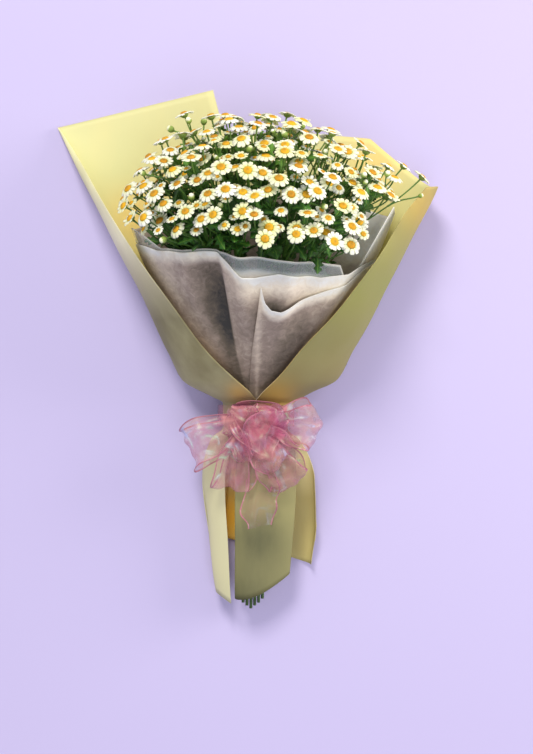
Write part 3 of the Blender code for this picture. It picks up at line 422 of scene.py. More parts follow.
def right_paper_grid(rows, under_count, front_count):
    """From behind the right fold over to the free front edge, and below the tie the wide strip in front."""
    edge = np.array(RIGHT_OUTER_EDGE, float)
    edge[FOLLOWS_FOLD:, 0] = fold_line(RIGHT_PAPER, edge[FOLLOWS_FOLD:, 1], 1)[:, 0]
    fold_rows, free_rows = rail(edge, rows), rail(RIGHT_FRONT_EDGE, rows)
    shares = np.linspace(0, 1, under_count + front_count)
    strip = between(fold_rows, free_rows, shares)
    at_foot = 1 - ramp(strip[..., 1], CUT_END_Y, CUT_END_Y + FOOT_HEIGHT)
    strip[..., 1] -= FOOT_ROUND * at_foot * np.sin(math.pi * shares) ** 0.7
    strip = np.dstack([strip, RIGHT_PAPER.front(strip[..., 0], strip[..., 1])])
    wing = between(fold_rows, free_rows, 1 - back_columns(front_count)[::-1])
    wing = np.dstack([wing, RIGHT_PAPER.front(wing[..., 0], wing[..., 1])])
    x = fold_rows[:, :1] * (1 - TUCK_SHARE * np.linspace(1, 0, under_count, endpoint=False) ** 2)[None, :]
    y = np.repeat(fold_rows[:, 1:], under_count, axis=1)
    wing = np.concatenate([np.dstack([x, y, RIGHT_PAPER.back(x, y)]), wing], axis=1)
    above_tie = ramp(fold_rows[:, 1], 2, NECK[1][1])[:, None, None]
    return strip * (1 - above_tie) + wing * above_tie


print("the left sheet's front edge has", len(LEFT_FRONT_EDGE), "stations")

# %% Outlines of the sheets of tissue
LEFT_TISSUE_TOP = ((-1.0, 156), (-0.8, 145), (-0.32, 138), (-0.12, 121), (0.0, 118), (0.2, 122), (0.4, 119),
                   (0.58, 118), (0.8, 124), (0.98, 141))
RIGHT_TISSUE_TOP = ((0.0, 110), (0.06, 96), (0.14, 89), (0.24, 88), (0.38, 94), (0.58, 104), (0.8, 115),
                    (0.98, 141))
RIGHT_TISSUE_FOLD = ((-9, -45), (-9, 0), (-7, 13), (-3.5, 50), (2, 85), (5.6, 110))
INNER_FRONT_TOP = ((-1.0, 172), (-0.78, 147), (-0.3, 140), (0.2, 134), (0.5, 131), (0.72, 131), (0.8, 120),
                   (0.87, 124), (0.93, 165), (0.97, 190), (1.0, 184))
INNER_BACK_TOP = ((-1.0, 172), (-0.5, 200), (0.0, 210), (0.6, 205), (1.0, 184))
DIP_STAND_OFF = 9.0
DIP_SHARE = 0.2
DIP_SPREAD = 0.3
DIP_Y = (45, 95)


def tissue_shares(columns):
    """Shares from -1 to 1, closer together at the sides where the tissue turns to the back."""
    return np.sin(np.linspace(-math.pi / 2, math.pi / 2, columns))


def tissue_rows(shares, top, rows):
    """Y of each row: the same stations in every sheet near the tie, then shared out up to the top edge."""
    top_y = np.interp(shares, [p[0] for p in top], [p[1] for p in top])
    last = TISSUE_STATIONS[-1]
    station = np.arange(len(TISSUE_STATIONS))
    fixed = smooth(np.linspace(0, station[-1], rows[0]), station, TISSUE_STATIONS)
    upper = last + (top_y - last)[None, :] * (np.arange(1, rows[1] + 1) / rows[1])[:, None]
    return np.concatenate([np.repeat(fixed[:, None], len(top_y), axis=1), upper])


def tissue_plan(shell, shares, top, rows):
    """Plan points of a sheet whose columns keep their share of the half width up to the top edge."""
    y = tissue_rows(shares, top, rows)
    return shares[None, :] * shell.half_width(shares[None, :], y), y


def left_tissue_grid(rows, columns):
    """The sheet across the whole front, under the right one."""
    x, y = tissue_plan(LEFT_TISSUE, tissue_shares(columns) * TISSUE_EDGE_SHARE, LEFT_TISSUE_TOP, rows)
    return np.dstack([x, y, LEFT_TISSUE.front(x, y)])


def right_tissue_grid(rows, columns):
    """The sheet that laps over the left one, with a folded edge and a top edge that stands off at its dip."""
    across = back_columns(columns)
    y = tissue_rows(across * TISSUE_EDGE_SHARE, RIGHT_TISSUE_TOP, rows)
    edge = smooth(y, [p[1] for p in RIGHT_TISSUE_FOLD], [p[0] for p in RIGHT_TISSUE_FOLD])
    x = edge + (TISSUE_EDGE_SHARE * RIGHT_TISSUE.half_width(np.ones_like(y), y) - edge) * across[None, :]
    near_top = ramp(y, *DIP_Y)
    at_dip = bell(across, DIP_SHARE, DIP_SPREAD)[None, :]
    return np.dstack([x, y, RIGHT_TISSUE.front(x, y) + DIP_STAND_OFF * near_top * at_dip])


def inner_tissue_grid(rows, columns):
    """A cone right round the bunch: across the front from left to right, then back behind it."""
    x, y = tissue_plan(INNER_TISSUE, tissue_shares(columns), INNER_FRONT_TOP, rows)
    front = np.dstack([x, y, INNER_TISSUE.front(x, y)])
    x, y = tissue_plan(INNER_TISSUE, tissue_shares(columns - 2)[::-1][1:-1], INNER_BACK_TOP, rows)
    back = np.dstack([x, y, INNER_TISSUE.back(x, y)])
    return np.concatenate([front, back], axis=1)


print("the tissue reaches Y", max(y for _, y in INNER_BACK_TOP), "behind the flowers")

# %% [markdown]
# Where each flower stands decides how the bunch looks. The stems fan out from the tie. Each bloom gets a
# place on a low dome and a stalk back to the nearest stem, and it is kept only where it and its stalk touch
# nothing that grew before. The same seeds give the same bunch on every run.

# %% Sizes of the bunch
STEM_RADIUS = 1.5
STEM_PITCH = 3.6
BLOOM_COUNT = 150
BLOOM_RADIUS = (9.0, 10.6)
LEAVES_PER_STEM = (2, 1)
LEAF_LENGTH = (32, 46)
HEAD_CENTRE = np.array([6.0, 150.0, 82.0])
HEAD_RADII = np.array([138.0, 124.0, 108.0])
BUNCH_SEED = 7
STEM_ROWS = ((4.8, 5, 16), (1.6, 7, 40), (-1.6, 7, 66), (-4.8, 5, 92))
STEM_SWING = math.radians(17.5)
ROW_SWING = math.radians(4)
STEM_TIP_DEPTH = 40.0
STEM_POINTS = 13
# How a stem sets out from the tie: aside by its place, along the bunch and up
STEM_FAN = (1.3, 30.0, 1.5)
STEM_FREE_RUN = 55
BESIDE_DOME_RISE = 4
ABOVE_TIE_Y = 20
TIE_RUN = (-5.0, 5.0)
CUT_SLOPE = 0.8
CUT_STEP = 2.4
CUT_SPREAD = 0.06
CUT_LEAN = (-5.0, -6.0)
STALK_REACH = 0.36
STALK_SLANT = 0.6
STALK_SPAN = 1.3
STALK_DEPTH = 2.6
STRAIGHT_ENOUGH = 3.0
OUTWARD = 0.8
TOPWARD = (0, 0.42, 0.12)
TILT_SEEN = 0.12
TILT_THROWN = 0.2
LOWEST_BLOOM = 24.0
NEAREST_BLOOM_Y = 128.0
GAPS = ((-38, 6, 120, 158), (60, 86, 172, 192), (98, 160, 120, 197))
LEAF_BALL = 2.6
LOWEST_LEAF_Y = 80.0
LEAF_TRIES = 120
WALL_GAP = 3.0
THING_GAP = 0.4
SEEN_BLOOMS = (
    (89, 145), (86, 161), (70, 147), (52, 156), (35, 152), (51, 129), (9, 148), (13, 159), (78, 179),
    (95, 193), (93, 184), (124, 194), (157, 216), (32, 188), (53, 189), (41, 182), (69, 205), (107, 214),
    (117, 213), (75, 234), (49, 244), (33, 258), (16, 267), (30, 275), (-124, 196), (-101, 201),
    (-113, 172), (-109, 157), (-81, 182), (-86, 190), (-69, 200), (-70, 210), (-75, 217), (-41, 208),
    (-28, 210), (-47, 200), (-41, 189), (-24, 190), (-11, 192), (-61, 174), (-52, 169), (-36, 170),
    (-29, 175), (-11, 174), (-44, 160), (-15, 163), (0, 168), (-54, 150), (-44, 141), (-24, 264),
    (-33, 258), (-44, 251), (-55, 246), (-12, 241), (-89, 249), (-67, 275), (140, 227), (150, 223),
    (133, 214), (144, 212), (125, 226), (-115, 183), (-108, 222), (-100, 235),
)
print(len(SEEN_BLOOMS), "blooms have a place of their own, of", BLOOM_COUNT)

# %% Stems, and room for what grows on them
def bezier(a, b, c, d, count):
    """Points along a curve from a to d that sets out towards b and comes in from c."""
    t = np.linspace(0, 1, count)[:, None]
    return a * (1 - t) ** 3 + 3 * b * t * (1 - t) ** 2 + 3 * c * t * t * (1 - t) + d * t**3


def unit(v):
    return v / np.linalg.norm(v)


def dense(path, step=2.5):
    """Points along a line of straight runs, no further apart than the step."""
    runs = []
    for a, b in zip(path[:-1], path[1:]):
        count = max(1, int(np.linalg.norm(b - a) / step))
        runs.append(a + (b - a) * np.linspace(0, 1, count, endpoint=False)[:, None])
    return np.concatenate(runs + [path[-1:]])


def dome_direction(swing, lean):
    """Straight up where both angles are 0. Lean tips it towards the top of the flowers, swing to one side."""
    return np.array([math.sin(swing), math.cos(swing) * math.sin(lean), math.cos(swing) * math.cos(lean)])


def dome_point(direction, depth=0.0):
    """The point of the flower head's dome in a direction, or that far below it."""
    surface = HEAD_RADII * direction
    return HEAD_CENTRE + surface * (1 - depth / np.linalg.norm(surface))


def over_plan(x, y, depth):
    """The point of the dome above a place in plan, and its direction."""
    share = (np.array([x, y]) - HEAD_CENTRE[:2]) / HEAD_RADII[:2]
    direction = unit(np.append(share, math.sqrt(max(0.0, 1 - share @ share))))
    if share @ share > 1:
        return np.array([x, y, HEAD_CENTRE[2] + BESIDE_DOME_RISE - depth]), direction
    return dome_point(direction, depth), direction


def main_stems():
    """One path for each stem, from its cut end through its place in the tie to its share of the dome."""
    stems = []
    for row, (height, count, lean) in enumerate(STEM_ROWS):
        for k in range(count):
            place = k - (count - 1) / 2
            across = place * STEM_PITCH
            direction = dome_direction(STEM_SWING * place + ROW_SWING * (row % 2), math.radians(lean))
            low = np.array([across, TIE_RUN[0], TIE_HEIGHT + height])
            high = np.array([across, TIE_RUN[1], TIE_HEIGHT + height])
            cut_y = CUT_END_Y + CUT_SLOPE * abs(across) + CUT_STEP * (row % 2)
            aside = across * (1 + CUT_SPREAD) + CUT_LEAN[0]
            cut = np.array([aside, cut_y, low[2] + height * CUT_SPREAD + CUT_LEAN[1]])
            tip = dome_point(direction, STEM_TIP_DEPTH)
            onward = unit(np.array([across * STEM_FAN[0], STEM_FAN[1], STEM_FAN[2] + height]))
            upper = bezier(high, high + onward * STEM_FREE_RUN, tip - unit(tip - high) * STEM_TIP_DEPTH, tip,
                           STEM_POINTS)
            stems.append({"direction": direction, "lower": np.array([cut, low]), "upper": upper})
    return stems


def obstacle_points():
    """Points close together on all the sheets near the head, which nothing that grows may touch."""
    grids = [left_paper_grid(90, 34, 30), back_paper_grid(90, 50), right_paper_grid(90, 10, 40),
             left_tissue_grid((16, 34), 60), right_tissue_grid((16, 34), 40),
             inner_tissue_grid((16, 34), 60)]
    points = np.concatenate([g.reshape(-1, 3) for g in grids])
    return points[points[:, 1] > ABOVE_TIE_Y]


class Space:
    """Keeps what has grown so far as balls, and says whether a new piece would come too near."""

    LARGEST = 16

    def __init__(self, walls):
        self.walls = walls
        self.centres = np.zeros((0, 3))
        self.radii = np.zeros(0)
        self.owners = np.zeros(0, int)

    def free(self, centres, radii, owner=-1):
        """Whether the balls stay clear of the sheets and of all that belongs to other owners."""
        low, high = centres.min(0) - self.LARGEST, centres.max(0) + self.LARGEST
        near = ((self.walls > low) & (self.walls < high)).all(1)
        if near.any():
            apart = np.linalg.norm(self.walls[near][None] - centres[:, None], axis=2) - radii[:, None]
            if apart.min() < WALL_GAP:
                return False
        near = ((self.centres > low) & (self.centres < high)).all(1) & (self.owners != owner)
        if not near.any():
            return True
        apart = np.linalg.norm(self.centres[near][None] - centres[:, None], axis=2)
        return bool((apart - radii[:, None] - self.radii[near][None]).min() > THING_GAP)

    def add(self, centres, radii, owner):
        self.centres = np.concatenate([self.centres, centres])
        self.radii = np.concatenate([self.radii, np.broadcast_to(radii, len(centres))])
        self.owners = np.concatenate([self.owners, np.full(len(centres), owner)])


print("stems and walls can be laid out")

# %% Places of the blooms and leaves
DISC_BALL = 4.2
PETAL_BALL = 2.3
PETAL_BALL_RINGS = ((0.5, 6), (0.88, 11))
STALK_BALL = 1.3
AT_STEM = 4.0
AT_BLOOM = 3.0
SEEN_DEPTHS = (0, 5, -5, 10)
# Stems that a stalk may leave, where it may leave one as a share of the stem, and the points in its line
NEAREST_STEMS = 3
STALK_STARTS = (0.5, 1.0)
STALK_POINTS = 21
# The part of the dome that blooms are thrown at, in swing and in degrees of lean, and how deep they lie
HEAD_SWING = 0.97
HEAD_LEANS = (-6, 112)
BLOOM_LAYERS = (-4.0, 3.0, 10.0, 18.0)
LAYER_SPREAD = 3
TRIES_PER_BLOOM = 80
# Between these a leaf starts, as a share of its stem, turns round the stem, and splays from it
LEAF_FROM = (0.4, 0, 0.5)
LEAF_TO = (0.95, math.tau, 1.1)
# Where the balls of a leaf lie, as shares of its length: from, to and how many, and how far aside
LEAF_SPINE = (0.24, 1.0, 9)
LEAF_ASIDE = (0.1, 0.2)
# Room round a stem as it curves, and round the straight runs between the joints that its solid has
STEM_ROOM = 0.3
COARSE_STEM_ROOM = 0.1
COARSE_JOINTS = [4, 8, 12]


def bloom_balls(centre, axis, radius):
    """Balls that cover a bloom's disc and its ring of petals."""
    side = unit(np.cross(axis, (0.3, 0.9, 0.2)))
    other = np.cross(axis, side)
    points, radii = [centre], [DISC_BALL]
    for share, count in PETAL_BALL_RINGS:
        for k in range(count):
            turn = 2 * math.pi * k / count
            points.append(centre + radius * share * (math.cos(turn) * side + math.sin(turn) * other))
            radii.append(PETAL_BALL)
    return np.array(points), np.array(radii)


def stalk_path(stem, share, base, axis, count):
    """The stalk of one bloom: it leaves its stem at a slant and comes up behind the bloom."""
    upper = stem["upper"]
    at = share * (len(upper) - 1)
    i = min(int(at), len(upper) - 2)
    start = upper[i] + (upper[i + 1] - upper[i]) * (at - i)
    onward = unit(unit(upper[i + 1] - upper[i]) + STALK_SLANT * unit(base - start))
    reach = np.linalg.norm(base - start) * STALK_REACH
    return bezier(start, start + onward * reach, base - axis * reach, base, count)


def coarse(path):
    """The stalk as it is modelled: straight, or with one bend where it curves more than a little."""
    bend = np.linalg.norm(path[len(path) // 2] - (path[0] + path[-1]) / 2)
    return path[[0, -1]] if bend < STRAIGHT_ENOUGH else path[[0, len(path) // 2, -1]]


def try_bloom(rng, centre, direction, tilt, radii, stems, space):
    """Keeps the bloom if it and its stalk have room, on the stem whose share of the dome it is nearest."""
    lean, radius, spin = rng.normal(0, tilt, 3), rng.uniform(*radii), rng.uniform(0, math.tau)
    axis = unit(unit(direction / HEAD_RADII) * OUTWARD + np.array(TOPWARD) + lean)
    nearness = np.array([s["direction"] for s in stems]) @ direction
    for owner in np.argsort(-nearness)[:NEAREST_STEMS]:
        aside = math.acos(min(1.0, float(nearness[owner])))
        share = float(np.clip(1.0 - aside * STALK_SPAN, *STALK_STARTS))
        path = stalk_path(stems[owner], share, centre - axis * STALK_DEPTH, axis, STALK_POINTS)
        balls, ball_radii = bloom_balls(centre, axis, radius)
        if not space.free(balls, ball_radii):
            return None
        stalk = np.concatenate([dense(path), dense(coarse(path))])
        clear_of_stem = np.linalg.norm(stalk - path[0], axis=1) > AT_STEM
        if not space.free(stalk[clear_of_stem], np.full(clear_of_stem.sum(), STALK_BALL), owner):
            continue
        space.add(balls, ball_radii, owner)
        space.add(stalk[np.linalg.norm(stalk - path[-1], axis=1) > AT_BLOOM], STALK_BALL, owner)
        return {"centre": centre, "axis": axis, "radius": radius, "spin": spin, "stem": int(owner),
                "path": path}
    return None


def first_kept(wanted, tries, grow, *inputs):
    """Grows things one by one and keeps those that have room, until there are enough."""
    kept = []
    for _ in range(tries):
        if len(kept) == wanted:
            break
        thing = grow(*inputs)
        if thing:
            kept.append(thing)
    return kept


def in_gap(point):
    """Whether a point lies over one of the gaps between the blooms."""
    return any(a < point[0] < b and c < point[1] < d for a, b, c, d in GAPS)


def throw_bloom(rng, swing, leans, depth, nearest_y, radii, stems, space):
    """A bloom thrown at the dome. Swing and leans say how much of the dome, and depth draws how deep."""
    direction = dome_direction(math.asin(rng.uniform(-swing, swing)), math.radians(rng.uniform(*leans)))
    centre = dome_point(direction, depth(rng))
    if centre[2] < LOWEST_BLOOM or centre[1] < nearest_y or in_gap(centre):
        return None
    return try_bloom(rng, centre, direction, TILT_THROWN, radii, stems, space)


def grow_blooms(stems, space):
    """First the blooms whose places are known, then blooms thrown at the dome where they have room."""
    rng = np.random.default_rng(BUNCH_SEED)
    blooms = []
    for x, y in SEEN_BLOOMS:
        for depth in SEEN_DEPTHS:
            bloom = try_bloom(rng, *over_plan(x, y, depth), TILT_SEEN, BLOOM_RADIUS, stems, space)
            if bloom:
                blooms.append(bloom)
                break
    layered = lambda rng: rng.choice(BLOOM_LAYERS) + rng.uniform(-LAYER_SPREAD, LAYER_SPREAD)
    return blooms + first_kept(BLOOM_COUNT - len(blooms), TRIES_PER_BLOOM * BLOOM_COUNT, throw_bloom, rng,
                               HEAD_SWING, HEAD_LEANS, layered, NEAREST_BLOOM_Y, BLOOM_RADIUS, stems, space)


def leaf_frame(stem, share, turn, splay):
    """Where a leaf leaves its stem, the way it runs and the way its upper face looks."""
    upper = stem["upper"]
    i = int(share * (len(upper) - 2))
    onward = unit(upper[i + 1] - upper[i])
    side = unit(np.cross(onward, (0.2, 0.1, 1.0)))
    out = math.cos(turn) * side + math.sin(turn) * np.cross(onward, side)
    run = unit(onward * math.cos(splay) + out * math.sin(splay))
    face = unit(np.cross(np.cross(run, onward), run))
    return upper[i], run, face


def grow_leaf(rng, owner, stem, space):
    """A leaf somewhere on a stem, if it has room there."""
    start, run, face = leaf_frame(stem, *rng.uniform(LEAF_FROM, LEAF_TO))
    length = rng.uniform(*LEAF_LENGTH)
    spine = start + run * np.linspace(*LEAF_SPINE)[:, None] * length
    near, far = (np.cross(run, face) * length * share for share in LEAF_ASIDE)
    balls = np.concatenate([spine, spine + near, spine - near, spine[1:7] + far, spine[1:7] - far])
    if spine[:, 1].min() < LOWEST_LEAF_Y or not space.free(balls, np.full(len(balls), LEAF_BALL)):
        return None
    space.add(balls, LEAF_BALL, owner)
    return {"start": start, "run": run, "face": face, "length": length, "stem": owner}


stems = main_stems()
space = Space(obstacle_points())
for owner, stem in enumerate(stems):
    space.add(dense(stem["upper"][2:]), STEM_RADIUS + STEM_ROOM, owner)
    space.add(dense(stem["upper"][COARSE_JOINTS]), STEM_RADIUS + COARSE_STEM_ROOM, owner)
blooms = grow_blooms(stems, space)
rng = np.random.default_rng(BUNCH_SEED + 1)
leaves = []
for owner, stem in enumerate(stems):
    leaves += first_kept(LEAVES_PER_STEM[owner % 2], LEAF_TRIES, grow_leaf, rng, owner, stem, space)
print(len(stems), "stems,", len(blooms), "blooms,", len(leaves), "leaves")

# %% [markdown]
# Between the open flowers there are half-grown ones, buds and small leaves. They are too fine for the
# plain solids, so they are thrown only here, into the room that is left.

# %% Places of the young blooms, buds and small leaves
YOUNG_BLOOMS = 130
YOUNG_TRIES = 9000
YOUNG_RADIUS = (5.2, 7.8)
YOUNG_DEPTH = (2, 24)
YOUNG_SWING = 0.9
YOUNG_LEANS = (4, 100)
NEAREST_YOUNG_Y = 150
BUD_COUNT = 70
BUD_TRIES = 6000
BUD_RADIUS = (2.2, 3.6)
# A bud's stalk: its first joint on the bloom's stalk, how far it splays, its length as a share of what is
# left of that stalk, how it sets out and comes in, and the points in its line
BUD_JOINT = 6
BUD_SPLAY = 0.75
BUD_REACH = (0.75, 1.25)
BUD_CURVE = (0.4, 0.3)
BUD_STALK_POINTS = 9
BUD_ROOM = 0.4
BUD_STALK_BALL = 0.8
LONGEST_BUD_STALK = 36
LOWEST_BUD = 22
SMALL_LEAVES = 700
SMALL_LEAF_TRIES = 16000
# More of them stand at the top left, beyond this X and Y, and only on the upper part of a stalk
TOP_LEAVES = 150
TOP_LEFT = (10, 200)
TOP_LEAF_JOINT = 8
SMALL_LEAF_LENGTH = (10, 26)
SMALL_LEAF_ONWARD = (0.5, 1.3)
SMALL_LEAF_SPINE = (0.3, 1.0, 5)
SMALL_LEAF_BALL = 1.0
SMALL_LEAF_ROOM = 1.2
SMALL_LEAF_NEAREST_Y = 96
SMALL_LEAF_LOWEST = 12
# Small things leave a bloom's stalk below this point of its line
LAST_JOINT = 15


def grow_bud(rng):
    """A bud on a short stalk of its own, which leaves a bloom's stalk a third of the way up or higher."""
    bloom = blooms[rng.integers(len(blooms))]
    path = bloom["path"]
    at = rng.integers(BUD_JOINT, LAST_JOINT)
    aside = unit(rng.normal(size=3))
    axis = unit(unit(path[-1] - path[at]) + aside * BUD_SPLAY)
    reach = rng.uniform(*BUD_REACH) * np.linalg.norm(path[-1] - path[at])
    base = path[at] + axis * reach
    radius = rng.uniform(*BUD_RADIUS)
    stalk = bezier(path[at], path[at] + unit(path[at + 1] - path[at]) * reach * BUD_CURVE[0],
                   base - axis * reach * BUD_CURVE[1], base, BUD_STALK_POINTS)
    ball, stalk_balls = (base + axis * radius)[None], dense(stalk[3:])
    if base[1] < NEAREST_YOUNG_Y or base[2] < LOWEST_BUD or reach > LONGEST_BUD_STALK or in_gap(base):
        return None
    if not (space.free(ball, np.array([radius + BUD_ROOM]))
            and space.free(stalk_balls, np.full(len(stalk_balls), BUD_STALK_BALL), bloom["stem"])):
        return None
    space.add(ball, radius + BUD_ROOM, bloom["stem"])
    return {"centre": base, "axis": axis, "radius": radius, "path": stalk, "spin": rng.uniform(0, math.tau)}


def grow_small_leaf(rng, hosts, lowest):
    """A small leaf on a bloom's stalk, no lower than this point of the stalk, turned to its own side."""
    bloom = hosts[rng.integers(len(hosts))]
    path = bloom["path"]
    at = rng.integers(lowest, LAST_JOINT)
    onward = unit(path[at + 1] - path[at])
    run = unit(onward * rng.uniform(*SMALL_LEAF_ONWARD) + unit(np.cross(onward, rng.normal(size=3))))
    face = unit(np.cross(np.cross(run, onward), run))
    length = rng.uniform(*SMALL_LEAF_LENGTH)
    spine = path[at] + run * np.linspace(*SMALL_LEAF_SPINE)[:, None] * length
    if spine[:, 1].min() < SMALL_LEAF_NEAREST_Y or spine[:, 2].min() < SMALL_LEAF_LOWEST:
        return None
    if not space.free(spine, np.full(len(spine), SMALL_LEAF_BALL), bloom["stem"]):
        return None
    space.add(spine[2:], SMALL_LEAF_ROOM, bloom["stem"])
    return {"start": path[at], "run": run, "face": face, "length": length}


young_blooms = first_kept(YOUNG_BLOOMS, YOUNG_TRIES, throw_bloom, np.random.default_rng(20), YOUNG_SWING,
                          YOUNG_LEANS, lambda rng: rng.uniform(*YOUNG_DEPTH), NEAREST_YOUNG_Y, YOUNG_RADIUS,
                          stems, space)
blooms += young_blooms
buds = first_kept(BUD_COUNT, BUD_TRIES, grow_bud, np.random.default_rng(21))
top_left = [bloom for bloom in blooms
            if bloom["centre"][0] < TOP_LEFT[0] and bloom["centre"][1] > TOP_LEFT[1]]
small_leaves = []
for count, seed, hosts, lowest in ((TOP_LEAVES, 23, top_left, TOP_LEAF_JOINT), (SMALL_LEAVES, 22, blooms, 0)):
    small_leaves += first_kept(count, SMALL_LEAF_TRIES, grow_small_leaf, np.random.default_rng(seed), hosts,
                               lowest)
print(len(young_blooms), "young blooms,", len(buds), "buds and", len(small_leaves), "small leaves")

# %% [markdown]
# Everything that grows is one of a few shapes set out many times. Geometry Nodes do that well: one tree
# takes points that carry a turn and a size, puts one of several shapes on each, and makes the result real.
# A second tree turns lines into round stems of the thickness that each point carries.

# %% Trees that set out shapes and thicken lines
def start_tree(name, sockets):
    """An empty geometry tree with these inputs and one result, what adds a node to it, and its inputs."""
    tree = bpy.data.node_groups.new(name, "GeometryNodeTree")
    for label, kind in sockets.items():
        tree.interface.new_socket(label, in_out="INPUT", socket_type="NodeSocket" + kind)
    tree.interface.new_socket("Result", in_out="OUTPUT", socket_type="NodeSocketGeometry")
    add = functools.partial(add_node, tree)
    return tree, add, add("NodeGroupInput").node.outputs


def end_tree(add, geometry, material):
    """The last nodes of a tree: what it made becomes real and takes its material."""
    real = add("GeometryNodeRealizeInstances", {"Geometry": geometry})
    finished = add("GeometryNodeSetMaterial", {"Geometry": real, "Material": material})
    add("NodeGroupOutput", {"Result": finished})


set_out, add, given = start_tree("set_out_shapes", {
    "Points": "Geometry", "Shapes": "Collection", "Size spread": "Float", "Seed": "Int",
    "Material": "Material"})
turn = add("GeometryNodeInputNamedAttribute", {"Name": "turn"}, data_type="FLOAT_VECTOR")
size = add("GeometryNodeInputNamedAttribute", {"Name": "size"}, data_type="FLOAT")
kind = add("GeometryNodeInputNamedAttribute", {"Name": "kind"}, data_type="INT")
smallest = add("ShaderNodeMath", {0: 1.0, 1: given["Size spread"]}, operation="SUBTRACT")
spread = add("FunctionNodeRandomValue", {"Min": smallest, "Max": 1.0, "Seed": given["Seed"]},
             data_type="FLOAT")
scale = add("ShaderNodeMath", {0: size, 1: spread}, operation="MULTIPLY")
rotation = add("FunctionNodeEulerToRotation", {"Euler": turn})
shapes = add("GeometryNodeCollectionInfo", {
    "Collection": given["Shapes"], "Separate Children": True, "Reset Children": True})
placed = add("GeometryNodeInstanceOnPoints", {
    "Points": given["Points"], "Instance": shapes, "Pick Instance": True, "Instance Index": kind,
    "Rotation": rotation, "Scale": scale})
tint = add("FunctionNodeRandomValue", {"Min": 0.0, "Max": 1.0, "Seed": given["Seed"]}, data_type="FLOAT")
tinted = add("GeometryNodeStoreNamedAttribute", {
    "Geometry": placed, "Name": "tint", "Value": tint}, domain="INSTANCE")
end_tree(add, tinted, given["Material"])

thicken, add, given = start_tree("thicken_lines", {
    "Lines": "Geometry", "Sides": "Int", "Material": "Material"})
radius = add("GeometryNodeInputNamedAttribute", {"Name": "radius"}, data_type="FLOAT")
curves = add("GeometryNodeMeshToCurve", {"Mesh": given["Lines"]})
ring = add("GeometryNodeCurvePrimitiveCircle", {"Resolution": given["Sides"], "Radius": 1.0})
tube = add("GeometryNodeCurveToMesh", {
    "Curve": curves, "Profile Curve": ring, "Scale": radius, "Fill Caps": True})
end_tree(add, tube, given["Material"])
print("two trees with", len(set_out.nodes), "and", len(thicken.nodes), "nodes")

# %% Helpers that run a tree and keep its result
def plain_mesh(name, points, edges=(), faces=(), **attributes):
    """A mesh with number attributes on its points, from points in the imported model's metres."""
    mesh = bpy.data.meshes.new(name)
    mesh.from_pydata([tuple(p) for p in points], [tuple(e) for e in edges], [tuple(f) for f in faces])
    for label, values in attributes.items():
        values = np.asarray(values)
        kind = {"i": "INT", "f": "FLOAT"}[values.dtype.kind] if values.ndim == 1 else "FLOAT_VECTOR"
        slot = mesh.attributes.new(label, kind, "POINT")
        slot.data.foreach_set("vector" if values.ndim == 2 else "value", values.ravel())
    return mesh


def grid_faces(rows, columns, closed=False, start=0):
    """Faces between the neighbours in a grid of points that is numbered row by row."""
    faces = []
    for r in range(rows - 1):
        for c in range(columns if closed else columns - 1):
            a, b = start + r * columns + c, start + r * columns + (c + 1) % columns
            faces.append((a, b, b + columns, a + columns))
    return faces


def grown(name, mesh, tree, inputs):
    """The plain mesh that a tree makes of a mesh, as an object."""
    piece = as_object(name, mesh)
    modifier = piece.modifiers.new("grow", "NODES")
    modifier.node_group = tree
    for item in tree.interface.items_tree:
        if item.name in inputs:
            modifier[item.identifier] = inputs[item.name]
    bpy.context.view_layer.update()
    made = bpy.data.meshes.new_from_object(piece.evaluated_get(bpy.context.evaluated_depsgraph_get()))
    piece.modifiers.remove(modifier)
    piece.data = made
    made.name = name
    return piece


def hand_over(piece, slot, *nodes):
    """The piece moves with the bunch and stands for these solids. The slot is not used."""
    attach(piece, "root")
    if nodes:
        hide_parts(*nodes)
    piece.data.calc_loop_triangles()
    print(piece.name, len(piece.data.loop_triangles), "triangles")


def set_out_piece(name, points, shapes, spread, seed, material, *nodes):
    """A finished piece of shapes set out on points. Each shape is its points, its faces and an attribute."""
    group = bpy.data.collections.new(name)
    for k, (corners, faces, attributes) in enumerate(shapes):
        mesh = plain_mesh(f"{name}_{k}", corners, (), faces, **attributes)
        mesh.shade_smooth()
        group.objects.link(bpy.data.objects.new(f"{name}_{k}", mesh))
    piece = grown(name, points, set_out,
                  {"Shapes": group, "Size spread": spread, "Seed": seed, "Material": material})
    for shape in list(group.objects):
        mesh = shape.data
        bpy.data.objects.remove(shape)
        bpy.data.meshes.remove(mesh)
    bpy.data.collections.remove(group)
    hand_over(piece, "flowers", *nodes)


def turned(axis, spin):
    """Euler angles that turn a shape's Z to an axis, after a spin about it."""
    side = unit(np.cross(axis, (0.31, 0.17, 0.94) if abs(axis[2]) < 0.8 else (0.9, 0.3, 0.1)))
    other = np.cross(axis, side)
    x = math.cos(spin) * side + math.sin(spin) * other
    y = math.cos(spin) * other - math.sin(spin) * side
    return tuple(Matrix(np.stack([x, y, axis], axis=1)).to_euler())


def growth_points(things, place, size, turns, kinds, seed):
    """One point for each thing that grows, with its turn, size and kind of shape."""
    rng = np.random.default_rng(seed)
    return plain_mesh("growth_points", in_frame([t[place] for t in things]), turn=np.array(turns),
                      size=np.array([t[size] * MM for t in things]),
                      kind=rng.integers(0, kinds, len(things)).astype(np.int32))


def bloom_points(things, kinds, seed):
    """One point for each bloom or bud, with its shape's Z turned along its axis."""
    turns = [turned(b["axis"], b["spin"]) for b in things]
    return growth_points(things, "centre", "radius", turns, kinds, seed)


SPRAYS = [f"spray_{k:02d}" for k in range(1, 25)]
print("helpers ready for", len(SPRAYS), "sprays")

# %% [markdown]
# A ray floret is a soft white strap, widest beyond its middle, with two shallow grooves and a blunt tip.
# Nine to twelve of them stand round the disc. Young blooms hold them up, old ones let them hang. Eight
# whole rings with different counts and droops are enough that no two neighbours look the same.

